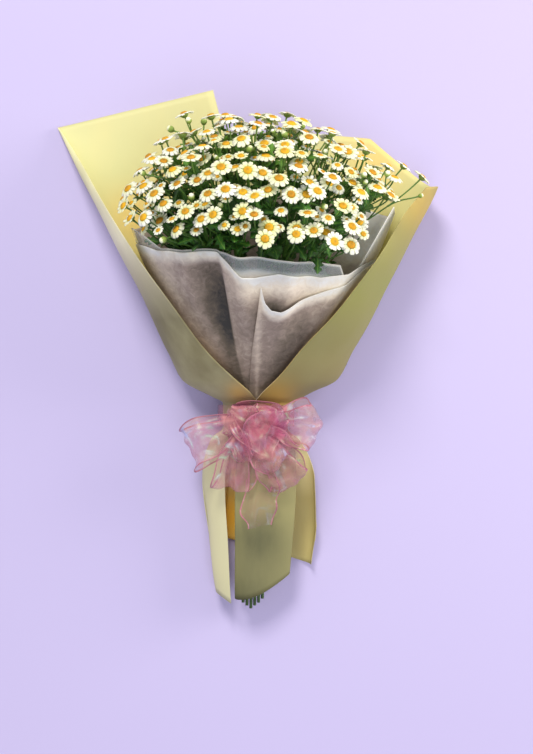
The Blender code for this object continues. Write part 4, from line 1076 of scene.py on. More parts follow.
# %% Rings of petals
PETAL_STATIONS = ((0.0, 0.08), (0.16, 0.135), (0.40, 0.185), (0.68, 0.205), (0.89, 0.165), (1.0, 0.085))
DISC_EDGE = 0.33
# Across a petal's upper face: places as a share of its half width, and how far they rise over its two grooves
FLAT_END = ((-1, 0.0), (0, 0.0), (1, 0.0))
GROOVED = ((-1, 0.0), (-0.5, 0.042), (0, 0.02), (0.5, 0.042), (1, 0.0))
NOTCH = 0.03
THICKNESS = 0.03


def petal(turn_angle, length, droop, twist, width):
    """One closed petal of 30 faces. Sizes are shares of the bloom's radius."""
    out = np.array([math.cos(turn_angle), math.sin(turn_angle), 0.0])
    aside = np.array([-out[1], out[0], 0.0])
    up = np.array([0.0, 0.0, 1.0])
    points, along, rows = [], [], []
    for share, half in PETAL_STATIONS:
        reach = (1.0 - DISC_EDGE) * length * share
        middle = out * (DISC_EDGE + reach * math.cos(droop * share)) + up * (
            0.07 + 0.07 * math.sin(math.pi * min(1.0, share * 1.4)) - reach * math.sin(droop * share))
        across = aside * math.cos(twist * share) + up * math.sin(twist * share)
        ends = share in (0.0, 1.0)
        notch = out * (-NOTCH if share == 1.0 else 0.0)
        row = []
        for place, rise in FLAT_END if ends else GROOVED:
            row.append(len(points))
            points.append(middle + across * half * width * place + up * rise + (notch if place == 0 else 0))
            along.append(share)
        under = row[1]
        if not ends:
            under = len(points)
            points.append(middle - up * THICKNESS)
            along.append(share)
        rows.append((row, under))
    faces = []
    for (low, low_under), (high, high_under) in zip(rows[:-1], rows[1:]):
        if len(low) == len(high):
            faces += [(a, b, d, c) for a, b, c, d in zip(low, low[1:], high, high[1:])]
        elif len(low) == 3:
            faces += [(low[0], high[1], high[0]), (low[0], low[1], high[2], high[1]),
                      (low[1], low[2], high[3], high[2]), (low[2], high[4], high[3])]
        else:
            faces += [(low[0], low[1], high[0]), (low[1], low[2], high[1], high[0]),
                      (low[2], low[3], high[2], high[1]), (low[3], low[4], high[2])]
        faces += [(low[0], high[0], high_under, low_under), (low_under, high_under, high[-1], low[-1])]
    return points, faces, along


def petal_ring(count, droop, rng):
    """A whole ring of petals, no two quite alike."""
    points, faces, along = [], [], []
    for k in range(count):
        swing = math.tau * (k + rng.uniform(-0.12, 0.12)) / count
        more, ring_faces, more_along = petal(
            swing, rng.uniform(0.9, 1.04), droop + rng.normal(0, 0.07), rng.normal(0, 0.16),
            rng.uniform(0.92, 1.08) * 12 / count)
        faces += [tuple(len(points) + i for i in face) for face in ring_faces]
        points += more
        along += more_along
    return points, faces, {"along": np.array(along, float)}


rng = np.random.default_rng(31)
RING_KINDS = ((11, -0.05), (10, 0.10), (12, 0.22), (11, 0.40), (9, 0.02), (10, 0.30), (11, -0.28), (12, 0.10))
petal_rings = [petal_ring(count, droop, rng) for count, droop in RING_KINDS]
print(len(petal_rings), "rings, the first with", len(petal_rings[0][1]), "faces")

# %% Petals
# Chamomile's ray florets are thin, soft and slightly see-through, and cool white with a green foot.
petal_white, add, shader = start_material("fresh_ray_floret", {
    "Roughness": 0.55, "IOR": 1.4, "Subsurface Weight": 0.25, "Subsurface Scale": 0.002,
    "Subsurface Radius": (1.0, 1.0, 0.8)})
along = add("ShaderNodeAttribute", gives="Fac", attribute_name="along")
tint = add("ShaderNodeAttribute", gives="Fac", attribute_name="tint")
whites = add("ShaderNodeValToRGB", {"Fac": along}, steps=(
    (0.0, "#9DB052"), (0.22, "#DCE4BA"), (0.5, "#EFF4E2"), (1.0, "#F6FAEE")))
creamy = add("ShaderNodeMix", {"Factor": tint, "A": whites, "B": linear("#F0F1C8")},
             data_type="RGBA", blend_type="MULTIPLY")
feed(shader, {"Base Color": creamy})
petal_points = bloom_points(blooms, len(petal_rings), 41)
set_out_piece("petals", petal_points, petal_rings, 0.05, 1, petal_white, *SPRAYS)

# %% [markdown]
# The yellow disc is a dome of hundreds of tiny florets, set in spirals. They open from the rim inwards, so
# the rim is rough and golden, and the middle smoother and greener. A grid of rings with every other point
# raised gives the knobbly outline, and a cell pattern in the material gives the rest.

# %% Discs
# Sizes of a disc as shares of the bloom's radius, and how much of its middle is smooth
DISC_FOOT = 0.04
DISC_RADIUS = 0.40
KNOB = 0.016
SMOOTH_MIDDLE = 0.3


def disc_dome(height, rings=6, sides=16):
    """A dome with raised knobs and a closed foot. Sizes are shares of the bloom's radius."""
    points, along = [np.array([0, 0, DISC_FOOT + height])], [0.0]
    for r in range(1, rings + 1):
        share = r / rings
        for k in range(sides):
            angle = math.tau * (k + 0.5 * (r % 2)) / sides
            knob = KNOB * (1 if (k + r) % 2 else -1) * (share > SMOOTH_MIDDLE)
            radius_share = DISC_RADIUS * math.sin(math.pi / 2 * share) + knob
            z = DISC_FOOT + height * math.cos(math.pi / 2 * share) ** 0.8 + knob
            points.append(np.array([radius_share * math.cos(angle), radius_share * math.sin(angle), z]))
            along.append(share)
    points.append(np.array([0, 0, 0.0]))
    along.append(1.0)
    faces = [(0, 1 + k, 1 + (k + 1) % sides) for k in range(sides)]
    for r in range(rings - 1):
        a, b = 1 + r * sides, 1 + (r + 1) * sides
        faces += [(a + k, b + k, b + (k + 1) % sides, a + (k + 1) % sides) for k in range(sides)]
    last = 1 + (rings - 1) * sides
    faces += [(last + (k + 1) % sides, last + k, len(points) - 1) for k in range(sides)]
    return points, faces, {"along": np.array(along, float)}


DISC_HEIGHTS = (0.30, 0.25, 0.34)
# Disc florets are waxy little tubes, matte with pollen.
disc_yellow, add, shader = start_material("pollen_covered_disc", {
    "Roughness": 0.75, "Subsurface Weight": 0.1, "Subsurface Radius": (1.0, 0.6, 0.1),
    "Subsurface Scale": 0.001})
along = add("ShaderNodeAttribute", gives="Fac", attribute_name="along")
tint = add("ShaderNodeAttribute", gives="Fac", attribute_name="tint")
# Painted shade: both ramps darken at their last step, the foot of the dome where it meets the petals
fresh = add("ShaderNodeValToRGB", {"Fac": along}, steps=(
    (0.0, "#8E6A0C"), (0.4, "#B9820A"), (0.8, "#D08E08"), (1.0, "#7A4A06")))
ripe = add("ShaderNodeValToRGB", {"Fac": along}, steps=(
    (0.0, "#B08A12"), (0.4, "#DDA812"), (0.8, "#EDB90E"), (1.0, "#8A6208")))
yellow = add("ShaderNodeMix", {"Factor": tint, "A": fresh, "B": ripe}, data_type="RGBA")
place = add("ShaderNodeTexCoord", gives="Object")
florets = add("ShaderNodeTexVoronoi", {"Vector": place, "Scale": per_metre(0.9)}, gives="Distance")
bumps = add("ShaderNodeBump", {"Strength": 0.6, "Distance": 0.0004, "Height": florets})
feed(shader, {"Base Color": yellow, "Normal": bumps})
domes = [disc_dome(height) for height in DISC_HEIGHTS]
set_out_piece("discs", bloom_points(blooms, len(domes), 42), domes, 0.08, 2, disc_yellow)

# %% [markdown]
# Behind the petals sits the green cup of the flower head, which shows on every bloom that looks away. The
# same cup closed round a tuft of white is a bud.

# %% Cups and buds
def turned_shape(profile, sides=14, ribs=0.0):
    """A closed shape of revolution from (radius, height) pairs, with shallow ribs."""
    points, along = [], []
    for j, (radius_share, z) in enumerate(profile):
        for k in range(sides):
            angle = math.tau * k / sides
            r = radius_share * (1 + ribs * (1 if k % 2 else -1))
            points.append(np.array([r * math.cos(angle), r * math.sin(angle), z]))
            along.append(j / (len(profile) - 1))
    faces = grid_faces(len(profile), sides, closed=True)
    foot, crown = len(points), len(points) + 1
    points += [np.array([0, 0, profile[0][1]]), np.array([0, 0, profile[-1][1]])]
    along += [0.0, 1.0]
    top = (len(profile) - 1) * sides
    faces += [((k + 1) % sides, k, foot) for k in range(sides)]
    faces += [(top + k, top + (k + 1) % sides, crown) for k in range(sides)]
    return points, faces, {"along": np.array(along, float)}


CUP = ((0.085, -0.27), (0.20, -0.23), (0.33, -0.12), (0.40, 0.0), (0.41, 0.06), (0.36, 0.05))
BUD_CUP = ((0.22, -0.1), (0.62, 0.15), (0.92, 0.65), (0.98, 1.15), (0.86, 1.5), (0.70, 1.55))
BUD_TUFT = ((0.66, 1.2), (0.80, 1.5), (0.74, 1.85), (0.48, 2.1), (0.15, 2.2))

# Herbaceous green: waxy cuticle over soft tissue, yellow-green in the young parts.
cup_green, add, shader = start_material("young_green_cup", {
    "Roughness": 0.55, "Subsurface Weight": 0.08, "Subsurface Scale": 0.001})
along = add("ShaderNodeAttribute", gives="Fac", attribute_name="along")
greens = add("ShaderNodeValToRGB", {"Fac": along}, steps=(
    (0.0, "#5E7A2C"), (0.6, "#86A044"), (1.0, "#A9BC6A")))
place = add("ShaderNodeTexCoord", gives="Object")
scales = add("ShaderNodeTexNoise", {"Vector": place, "Scale": per_metre(0.8)})
bumps = add("ShaderNodeBump", {"Strength": 0.5, "Distance": 0.0003, "Height": scales})
feed(shader, {"Base Color": greens, "Normal": bumps})

# Each piece: its name, what it sits on, the seed of its points, its shape, size spread, seed and material
for name, things, point_seed, shape, spread, seed, material in (
        ("cups", blooms, 43, turned_shape(CUP, ribs=0.03), 0.05, 3, cup_green),
        ("bud_cups", buds, 44, turned_shape(BUD_CUP, sides=12, ribs=0.05), 0.1, 4, cup_green),
        ("bud_tufts", buds, 44, turned_shape(BUD_TUFT, sides=12, ribs=0.10), 0.1, 4, petal_white)):
    set_out_piece(name, bloom_points(things, 1, point_seed), [shape], spread, seed, material)

# %% [markdown]
# Stems and stalks are lines with a thickness. The cut stems run straight through the tie. The stalks leave
# them at a slant, taper, and swell a little where they meet the flower head.

# %% Stems and stalks
STRAIGHT_ROWS = 9
STEM_TIP_RADIUS = 1.1
# A stalk's radius along its length: it tapers, and swells a little under the flower head
STALK_AT, STALK_RADII = (0, 0.5, 0.9, 1), (0.95, 0.72, 0.68, 0.85)


def lines_mesh(paths, radii):
    """Open lines as edges, with a radius on every point."""
    points, edges, sizes = [], [], []
    for path, radius_values in zip(paths, radii):
        start = len(points)
        points += list(in_frame(path))
        edges += [(start + k, start + k + 1) for k in range(len(path) - 1)]
        sizes += list(np.asarray(radius_values) * MM)
    return plain_mesh("lines", points, edges, radius=np.array(sizes, float))


stem_paths, stem_radii = [], []
for stem in stems:
    (cut, tied), upper = stem["lower"][:, None], stem["upper"]
    straight = [cut * (1 - t) + tied * t for t in np.linspace(0, 1, STRAIGHT_ROWS)]
    stem_paths.append(np.concatenate(straight + [upper]))
    stem_radii.append(np.concatenate([np.full(STRAIGHT_ROWS, STEM_RADIUS),
                                      np.linspace(STEM_RADIUS, STEM_TIP_RADIUS, len(upper))]))
stalk_paths = [thing["path"] for thing in blooms + buds]
stalk_radii = [np.interp(np.linspace(0, 1, len(path)), STALK_AT, STALK_RADII) for path in stalk_paths]

# Stems are ridged and waxy, deep green below and lighter towards the flowers.
stem_green, add, shader = start_material("ridged_green_stem", {
    "Roughness": 0.5, "Subsurface Weight": 0.05, "Subsurface Scale": 0.001})
place = add("ShaderNodeTexCoord", gives="Object")
height = add("ShaderNodeSeparateXYZ", {"Vector": place}, gives="Y")
up_bunch = add("ShaderNodeMapRange", {"Value": height, "From Min": -0.25, "From Max": 0.22})
greens = add("ShaderNodeValToRGB", {"Fac": up_bunch}, steps=(
    (0.0, "#1C2C14"), (0.5, "#2E4E1C"), (0.8, "#4E7A26"), (1.0, "#8CAE48")))
patches = add("ShaderNodeTexNoise", {"Vector": place, "Scale": per_metre(7), "Detail": 3.0})
mottled = add("ShaderNodeMix", {"Factor": patches, "A": greens, "B": linear("#3F6320")}, data_type="RGBA")
feed(shader, {"Base Color": mottled})
for name, paths, radii, sides in (("stems", stem_paths, stem_radii, 10),
                                  ("stalks", stalk_paths, stalk_radii, 6)):
    tubes = grown(name, lines_mesh(paths, radii), thicken, {"Sides": sides, "Material": stem_green})
    hand_over(tubes, "flowers")

# %% [markdown]
# The leaves are cut into rounded lobes on both sides of a rib that is folded like a gutter. One half of the
# outline is drawn as points, strips run from the rib to it, and a second skin closes the blade.

# %% Leaves
HALF_LEAF = ((0.0, 0.018), (0.10, 0.02), (0.15, 0.07), (0.20, 0.15), (0.27, 0.19), (0.33, 0.17), (0.36, 0.08),
             (0.38, 0.05), (0.42, 0.12), (0.47, 0.22), (0.55, 0.26), (0.62, 0.24), (0.66, 0.15), (0.68, 0.07),
             (0.73, 0.12), (0.80, 0.17), (0.87, 0.15), (0.92, 0.08), (0.96, 0.05), (1.0, 0.004))
HALF_SMALL_LEAF = ((0.0, 0.02), (0.16, 0.04), (0.30, 0.20), (0.42, 0.08), (0.58, 0.24), (0.70, 0.09),
                   (0.84, 0.16), (1.0, 0.01))
# Curl and wave of each kind, as shares of the length
LEAF_KINDS = ((0.10, 0.10), (0.28, 0.16), (-0.06, 0.14))
LEAF_THICKNESS = 0.02
# The side veins start a little along the rib, the halves rise from it, and the margin waves and is thin
RIB_START = 0.06
GUTTER_SLOPE = 0.35
WAVES = 19
THIN_MARGIN = 0.15


def leaf_shape(margin, shares, curl, wave):
    """A lobed blade along Y with its face up, one long. across runs from 0 at the rib to 1 at the margin."""
    margin = np.array(margin)
    count, lines = len(margin), len(shares)
    points, across = [], []
    for skin in (1, -1):
        for share in shares:
            for k, (y, out) in enumerate(margin):
                rib_y = RIB_START + y * (1 - RIB_START) if 0 < k < count - 1 else y
                x = abs(share) * out
                z = x * GUTTER_SLOPE - curl * y * y + wave * math.sin(y * WAVES + share) * abs(share) * out
                z += skin * LEAF_THICKNESS / 2 * (THIN_MARGIN if abs(share) == 1 else 1)
                along = rib_y * (1 - abs(share)) + y * abs(share)
                points.append(np.array([math.copysign(x, share), along, z]))
                across.append(abs(share))
    faces = []
    for skin in range(2):
        base = skin * lines * count
        for c in range(lines - 1):
            for k in range(count - 1):
                a, b = base + c * count + k, base + (c + 1) * count + k
                faces.append((a, b, b + 1, a + 1) if skin == 0 else (a, a + 1, b + 1, b))
    last = (lines - 1) * count
    rim = [(k, k + 1) for k in range(count - 1)] + [(last + k + 1, last + k) for k in range(count - 1)]
    rim += [(c * count + count - 1, (c + 1) * count + count - 1) for c in range(lines - 1)]
    rim += [((c + 1) * count, c * count) for c in range(lines - 1)]
    faces += [(a, b, b + lines * count, a + lines * count) for a, b in rim]
    return points, faces, {"across": np.array(across, float)}


# A leaf is matte above and paler below, with a light rib and sunken side veins.
leaf_green, add, shader = start_material("lobed_green_leaf", {
    "Roughness": 0.6, "Subsurface Weight": 0.1, "Subsurface Scale": 0.001})
across = add("ShaderNodeAttribute", gives="Fac", attribute_name="across")
tint = add("ShaderNodeAttribute", gives="Fac", attribute_name="tint")
dark = add("ShaderNodeValToRGB", {"Fac": across}, steps=(
    (0.0, "#4F7A30"), (0.15, "#1F4A14"), (1.0, "#163A10")))
bright = add("ShaderNodeValToRGB", {"Fac": across}, steps=(
    (0.0, "#7CA03C"), (0.15, "#3E7A1C"), (1.0, "#2C6414")))
green = add("ShaderNodeMix", {"Factor": tint, "A": dark, "B": bright}, data_type="RGBA")
place = add("ShaderNodeTexCoord", gives="Object")
height = add("ShaderNodeSeparateXYZ", {"Vector": place}, gives="Y")
# Painted light: leaves high in the bunch are mixed towards a lighter green, as where light falls from above
up_bunch = add("ShaderNodeMapRange", {"Value": height, "From Min": 0.12, "From Max": 0.22, "To Max": 0.65})
sunlit = add("ShaderNodeMix", {"Factor": up_bunch, "A": green, "B": linear("#6E9C2C")}, data_type="RGBA")
veins = add("ShaderNodeTexNoise", {"Vector": place, "Scale": per_metre(3), "Detail": 4.0})
bumps = add("ShaderNodeBump", {"Strength": 0.5, "Distance": 0.0008, "Height": veins})
feed(shader, {"Base Color": sunlit, "Normal": bumps})


def leaf_points(things, seed):
    """One point for each leaf, with the shape's Y turned along the leaf and its Z to the leaf's face."""
    turns = []
    for leaf in things:
        side = np.cross(leaf["run"], leaf["face"])
        turns.append(tuple(Matrix(np.stack([side, leaf["run"], leaf["face"]], axis=1)).to_euler()))
    return growth_points(things, "start", "length", turns, len(LEAF_KINDS), seed)


for name, things, seed, margin, shares in (("leaves", leaves, 5, HALF_LEAF, (-1, -0.5, 0, 0.5, 1)),
                                           ("small_leaves", small_leaves, 6, HALF_SMALL_LEAF, (-1, 0, 1))):
    leaf_shapes = [leaf_shape(margin, shares, *kind) for kind in LEAF_KINDS]
    set_out_piece(name, leaf_points(things, seed), leaf_shapes, 0.0, seed, leaf_green)

# %% [markdown]
# Paper and tissue are grids of points with a second skin behind. The grid comes from the form of the wrap
# at a fine pitch, and a slow wave moves it a little along its normal, because no hand wraps a sheet dead
# flat.

# %% Sheets from grids
def grid_normals(grid, closed):
    """The direction across the sheet at every point. A closed grid's last column meets its first one."""
    if closed:
        wide = np.concatenate([grid[:, -1:], grid, grid[:, :1]], axis=1)
        across = wide[:, 2:] - wide[:, :-2]
    else:
        across = np.gradient(grid, axis=1)
    along = np.gradient(grid, axis=0)
    normal = np.cross(across, along)
    return normal / np.linalg.norm(normal, axis=2, keepdims=True)


def sheet_piece(name, grid, thickness, materials, closed=False, **values):
    """A sheet with two skins and a rim. Each further value is an attribute, with a number for each point."""
    rows, columns, _ = grid.shape
    offset = grid_normals(grid, closed) * thickness / 2
    points = in_frame(np.concatenate([(grid + offset).reshape(-1, 3), (grid - offset).reshape(-1, 3)]))
    under = rows * columns
    last = columns if closed else columns - 1
    faces = grid_faces(rows, columns, closed)
    outer = len(faces)
    faces += [tuple(under + i for i in face[::-1]) for face in faces]
    rim = [(c, (c + 1) % columns) for c in range(last)]
    rim += [((rows - 1) * columns + (c + 1) % columns, (rows - 1) * columns + c) for c in range(last)]
    if not closed:
        rim += [((r + 1) * columns, r * columns) for r in range(rows - 1)]
        rim += [(r * columns + columns - 1, (r + 1) * columns + columns - 1) for r in range(rows - 1)]
    faces += [(a, under + a, under + b, b) for a, b in rim]
    mesh = plain_mesh(name, points, (), faces, **{k: np.tile(v.ravel(), 2) for k, v in values.items()})
    for material in materials:
        mesh.materials.append(material)
    if len(materials) == 2:
        mesh.polygons.foreach_set("material_index", [int(outer <= k < 2 * outer) for k in range(len(faces))])
    mesh.shade_smooth()
    return as_object(name, mesh)


def flat_size(grid, closed=False):
    """Width and length of the flat sheet that the grid was cut from, and its area, in metres."""
    ring = np.concatenate([grid, grid[:, :1]], axis=1) if closed else grid
    width = np.linalg.norm(np.diff(ring, axis=1), axis=2).sum(1).max() * MM
    length = np.linalg.norm(np.diff(ring, axis=0), axis=2).sum(0).max() * MM
    a, b = ring[1:, 1:] - ring[:-1, :-1], ring[1:, :-1] - ring[:-1, 1:]
    area = np.linalg.norm(np.cross(a, b), axis=2).sum() / 2 * MM * MM
    return (float(width), float(length)), float(area)


def slow_wave(grid, lengths, seed):
    """A smooth random height, from -1 to 1, at every point of a grid."""
    rng = np.random.default_rng(seed)
    total = np.zeros(grid.shape[:2])
    for length in lengths:
        direction = unit(rng.normal(size=3) * (1.0, 1.0, 0.6))
        total += np.sin(grid @ direction * math.tau / length + rng.uniform(0, math.tau))
    return total / len(lengths)


trial_x, trial_y = np.meshgrid(np.linspace(0, 100, 5), np.linspace(0, 200, 9))
trial_grid = np.stack([trial_x, trial_y, np.zeros_like(trial_x)], axis=2)
print("a flat trial grid of 100 by 200 mm measures", flat_size(trial_grid)[0], "m")

# %% [markdown]
# Florist's paper with two tones: khaki-cream outside, warm yellow inside, both matte with a faint cloud of
# fibre. Light and shade are painted into both along the bunch, and a painted glow, standing in for light
# that falls between the sheets, turns the inside towards orange near the tie.

# %% Paper materials
# Matt coated paper: painted light and shade change its colour along the bunch, spots of painted shade
# darken it, clouds of fibre lighten it and spots of painted glow warm it.
def paper_material(name, steps, cloud, glow):
    """Paper with these steps of painted light and shade from foot to top; glow names its painted glow spots.
    """
    material, add, shader = start_material(name, {"Roughness": 0.62, "IOR": 1.45})
    place = add("ShaderNodeTexCoord", gives="Object")
    height = add("ShaderNodeSeparateXYZ", {"Vector": place}, gives="Y")
    up_bunch = add("ShaderNodeMapRange", {"Value": height, "From Min": -0.25, "From Max": 0.25})
    dry = add("ShaderNodeValToRGB", {"Fac": up_bunch}, steps=steps)
    damp = add("ShaderNodeAttribute", gives="Fac", attribute_name="damp")
    # Painted shade: where its spots lie, the paper is darkened towards dark olive
    tone = add("ShaderNodeMix", {"Factor": damp, "A": dry, "B": linear("#4A4C30")}, data_type="RGBA")
    drawn_out = add("ShaderNodeMapping", {"Vector": place, "Scale": (1.0, 0.35, 1.0)})
    clouds = add("ShaderNodeTexNoise", {"Vector": drawn_out, "Scale": per_metre(34), "Detail": 5.0})
    cloudy = add("ShaderNodeMapRange", {"Value": clouds, "From Min": 0.4, "From Max": 0.8, "To Max": 0.5})
    mixed = add("ShaderNodeMix", {"Factor": cloudy, "A": tone, "B": linear(cloud)}, data_type="RGBA")
    # Painted light: the glow spots turn the paper towards bright orange
    warm = add("ShaderNodeAttribute", gives="Fac", attribute_name=glow)
    glowing = add("ShaderNodeMix", {"Factor": warm, "A": mixed, "B": linear("#FFC43A")}, data_type="RGBA")
    fibres = add("ShaderNodeTexNoise", {"Vector": place, "Scale": per_metre(1.6), "Detail": 6.0})
    bumps = add("ShaderNodeBump", {"Strength": 0.12, "Distance": 0.0004, "Height": fibres})
    feed(shader, {"Base Color": glowing, "Normal": bumps})
    return material


# The steps are painted light and shade along the bunch, and the two outsides are lit and shaded copies of one
# khaki paper
left_outside = paper_material("matte_khaki_paper_left", (
    (0.0, "#CCCAA2"), (0.30, "#CFCBA4"), (0.44, "#8E8860"), (0.55, "#807B56"), (0.63, "#C4BF98"),
    (0.70, "#EFECCA"), (0.88, "#F2F0B6"), (1.0, "#F4F2C0")), "#C9C69A", "warm_outside")
right_outside = paper_material("matte_khaki_paper_right", (
    (0.0, "#86845A"), (0.2, "#908C5C"), (0.34, "#887A50"), (0.46, "#8C8454"), (0.62, "#8E914A"),
    (0.8, "#A59858"), (1.0, "#D2C290")), "#949060", "warm_outside")
paper_inside = paper_material("matte_yellow_paper", (
    (0.0, "#B0A468"), (0.2, "#C0B070"), (0.28, "#FFF0B0"), (0.36, "#FFFFEE"), (0.46, "#E8BE6C"),
    (0.68, "#D8CE84"), (0.85, "#D0D094"), (1.0, "#D0CE98")), "#DAD294", "warm_inside")
print("paper is", left_outside.name, "and", paper_inside.name)

# %% Sheets of paper
PAPER_SHOWN = 0.4
# Where a painted glow, standing in for light caught between the sheets, warms the paper: X, Y, reach
# and strength
WARM_INSIDE = ((-29, -112, 30, 1.0), (-72, 230, 26, 0.3), (118, 244, 34, 0.35), (-118, 190, 26, 0.4))
WARM_OUTSIDE = ((-17, 12, 11, 0.35), (20, 8, 18, 0.32), (158, 190, 22, 0.18))
# Where painted shade darkens the outside, in the same way
DAMP_OUTSIDE = ((2, -128, 28, 0.9), (-8, -188, 36, 1.0))
WAVE_LENGTHS = (130, 95, 71, 160)
WAVE_HEIGHT = 1.5
BUNCH_AXIS = (0, 0, 30)
# Heights over which the paper becomes free to wave, and over which it stands up from the table
FREE_HEIGHT = (4, 30)
STANDING_HEIGHT = (3, 12)
# Distances from the middle of the neck over which it becomes free
NECK_MIDDLE_Y = -8
FREE_OF_NECK = (25, 60)


def waved_paper(grid, apart):
    """Slow waves in the free parts of a sheet, none at the tie and none where it lies on the table."""
    free = ramp(grid[..., 2], *FREE_HEIGHT) * ramp(np.abs(grid[..., 1] - NECK_MIDDLE_Y), *FREE_OF_NECK)
    normal = grid_normals(grid, False)
    # Laps stay apart, because every sheet moves the same way: outwards from the middle of the bunch
    outward = np.sign(np.sum(normal * (grid - BUNCH_AXIS) * (1, 0, 1), axis=2))
    standing = ramp(grid[..., 2], *STANDING_HEIGHT)
    moved = slow_wave(grid, WAVE_LENGTHS, 51) * WAVE_HEIGHT * free + apart * standing
    return grid + normal * (moved * outward)[..., None]


def spotted(grid, spots):
    """How strong the spots are, together, at every point of a grid."""
    return sum(strength * np.exp(-((grid[..., 0] - x) ** 2 + (grid[..., 1] - y) ** 2) / reach**2)
               for x, y, reach, strength in spots)


# Each sheet: its name, its grid, the materials of its two skins, how far outwards it moves where it stands up
# so that laps can't touch, in millimetres, and whether it takes the painted shade
for name, grid, skins, apart, takes_damp in (
        ("paper_left", left_paper_grid(110, 30, 40), (left_outside, paper_inside), 0.3, False),
        ("paper_back", back_paper_grid(110, 60), (paper_inside, right_outside), -0.5, False),
        ("paper_right", right_paper_grid(110, 10, 50), (paper_inside, right_outside), 0.8, True)):
    piece = sheet_piece(name + "_sheet", waved_paper(grid, apart), PAPER_SHOWN, skins,
                        warm_inside=spotted(grid, WARM_INSIDE), warm_outside=spotted(grid, WARM_OUTSIDE),
                        damp=spotted(grid, DAMP_OUTSIDE) * takes_damp)
    hand_over(piece, "paper", name)
    print(name, "was cut to", [round(f, 3) for f in flat_size(grid)[0]], "m")

# %% [markdown]
# The tissue is a non-woven: fine fibres laid every way and bonded, greyish beige and slightly see-through.
# Where only one layer stands up at the rim, the flowers show dimly behind it.

# %% Tissue material
# Bonded fibres without a weave: soft, matte and greyish beige. Its tone is painted light and shade:
# paler where folds would catch the light, darker in hollows
tissue_beige, add, shader = start_material("nonwoven_fibre_tissue", {
    "Roughness": 0.85, "IOR": 1.45, "Sheen Weight": 0.1, "Subsurface Weight": 0.12, "Subsurface Scale": 0.001,
    "Subsurface Radius": (1.0, 1.0, 1.0)})
place = add("ShaderNodeTexCoord", gives="Object")
tone = add("ShaderNodeAttribute", gives="Fac", attribute_name="tone")
sheer = add("ShaderNodeAttribute", gives="Fac", attribute_name="sheer")
# Fibres and clouds of them make the tone uneven
fibres = add("ShaderNodeTexNoise", {
    "Vector": place, "Scale": per_metre(7), "Detail": 10.0, "Roughness": 0.66, "Distortion": 0.9})
streaks = add("ShaderNodeMapRange", {
    "Value": fibres, "From Min": 0.3, "From Max": 0.7, "To Min": -0.09, "To Max": 0.09})
clouds = add("ShaderNodeTexNoise", {"Vector": place, "Scale": per_metre(40), "Detail": 3.0})
drift = add("ShaderNodeMapRange", {
    "Value": clouds, "From Min": 0.3, "From Max": 0.7, "To Min": -0.08, "To Max": 0.08})
uneven = add("ShaderNodeMath", {0: streaks, 1: drift}, operation="ADD")
toned = add("ShaderNodeMath", {0: tone, 1: uneven}, operation="ADD")
# The tone runs from deep painted shade up to the white of painted light and of the pale web at the rim
beige = add("ShaderNodeValToRGB", {"Fac": toned}, steps=(
    (0.0, "#333333"), (0.2, "#655C50"), (0.42, "#9C8E82"), (0.62, "#CDC0AE"), (0.82, "#F0E6D0"),
    (1.0, "#FCFCF6")))
# The rim is a web: paler and cooler, with holes between its fibres
web = add("ShaderNodeTexNoise", {
    "Vector": place, "Scale": per_metre(14), "Detail": 5.0, "Distortion": 1.4},
    noise_type="RIDGED_MULTIFRACTAL")
holes = add("ShaderNodeMapRange", {
    "Value": web, "From Min": 0.75, "From Max": 1.4, "To Min": 0.12, "To Max": 1.0})
cool = add("ShaderNodeMath", {0: sheer, 1: 0.7}, operation="MULTIPLY")
frosted = add("ShaderNodeMix", {"Factor": cool, "A": beige, "B": linear("#E6F8FC")}, data_type="RGBA")
veil = add("ShaderNodeMix", {"Factor": sheer, "A": 1.0, "B": holes}, data_type="FLOAT")
bumps = add("ShaderNodeBump", {"Strength": 0.25, "Distance": 0.0005, "Height": fibres})
feed(shader, {"Base Color": frosted, "Alpha": veil, "Normal": bumps})
print("tissue is", tissue_beige.name)

# %% Folds and looks of the tissue
TISSUE_SHOWN = 0.25
# Where the big fold of the tissue steps up again, as a share of the half width
FOLD_EDGE = (-0.335, -0.285)
# A second layer ends beside the paper on the right, on a line given by X, Y and its slope; a painted
# highlight runs along it
SECOND_EDGE = (38.7, 46.0, 0.74)
# Soft folds: how close they are, where they start, how they drift along the bunch and how high they are
FOLDS = ((7.3, 0.6, 0.0, 1.8), (15.1, 2.0, 0.012, 1.1), (27.0, 1.0, -0.02, 0.4))
FOLDS_Y = (24, 110)
# The big fold: how deep it is, where it starts as a share, where it deepens and where it runs out
HOLLOW = -8.0
HOLLOW_START = (-0.64, -0.40)
HOLLOW_Y = (40, 100)
HOLLOW_END_Y = (108, 136)
HOLLOW_LOST = 0.65
# The crest beside it: how high it is, the middle and the spread of its share, and where it rises
CREST = 4.5
CREST_SHARE = (-0.14, 0.10)
CREST_Y = (40, 110)
# Heights over which the back of a sheet turns into its front
IN_FRONT = (30, 50)


def half_share(grid):
    """X as a share of the bunch's half width there."""
    return grid[..., 0] / LEFT_TISSUE.half_width(grid[..., 0], grid[..., 1])


def gathered_tissue(grid, closed=False):
    """Soft folds that fan out from the tie. All sheets share them, so the sheets stay apart."""
    y, share = grid[..., 1], half_share(grid)
    folds = sum(np.sin(share * pitch + phase + y * drift) * height for pitch, phase, drift, height in FOLDS)
    hollow = HOLLOW * ramp(share, *HOLLOW_START) * (1 - ramp(share, *FOLD_EDGE)) * ramp(y, *HOLLOW_Y)
    hollow = hollow * (1 - HOLLOW_LOST * ramp(y, *HOLLOW_END_Y))
    crest = CREST * bell(share, *CREST_SHARE) * ramp(y, *CREST_Y)
    lift = (folds * ramp(y, *FOLDS_Y) + hollow + crest) * ramp(grid[..., 2], *IN_FRONT)
    normal = grid_normals(grid, closed)
    return grid + normal * np.sign(normal[..., 2:3]) * lift[..., None]


def from_top(grid):
    """How far each point lies below its column's top edge, in millimetres."""
    steps = np.linalg.norm(np.diff(grid, axis=0), axis=2)
    return np.concatenate([np.cumsum(steps[::-1], axis=0)[::-1], np.zeros((1, grid.shape[1]))])


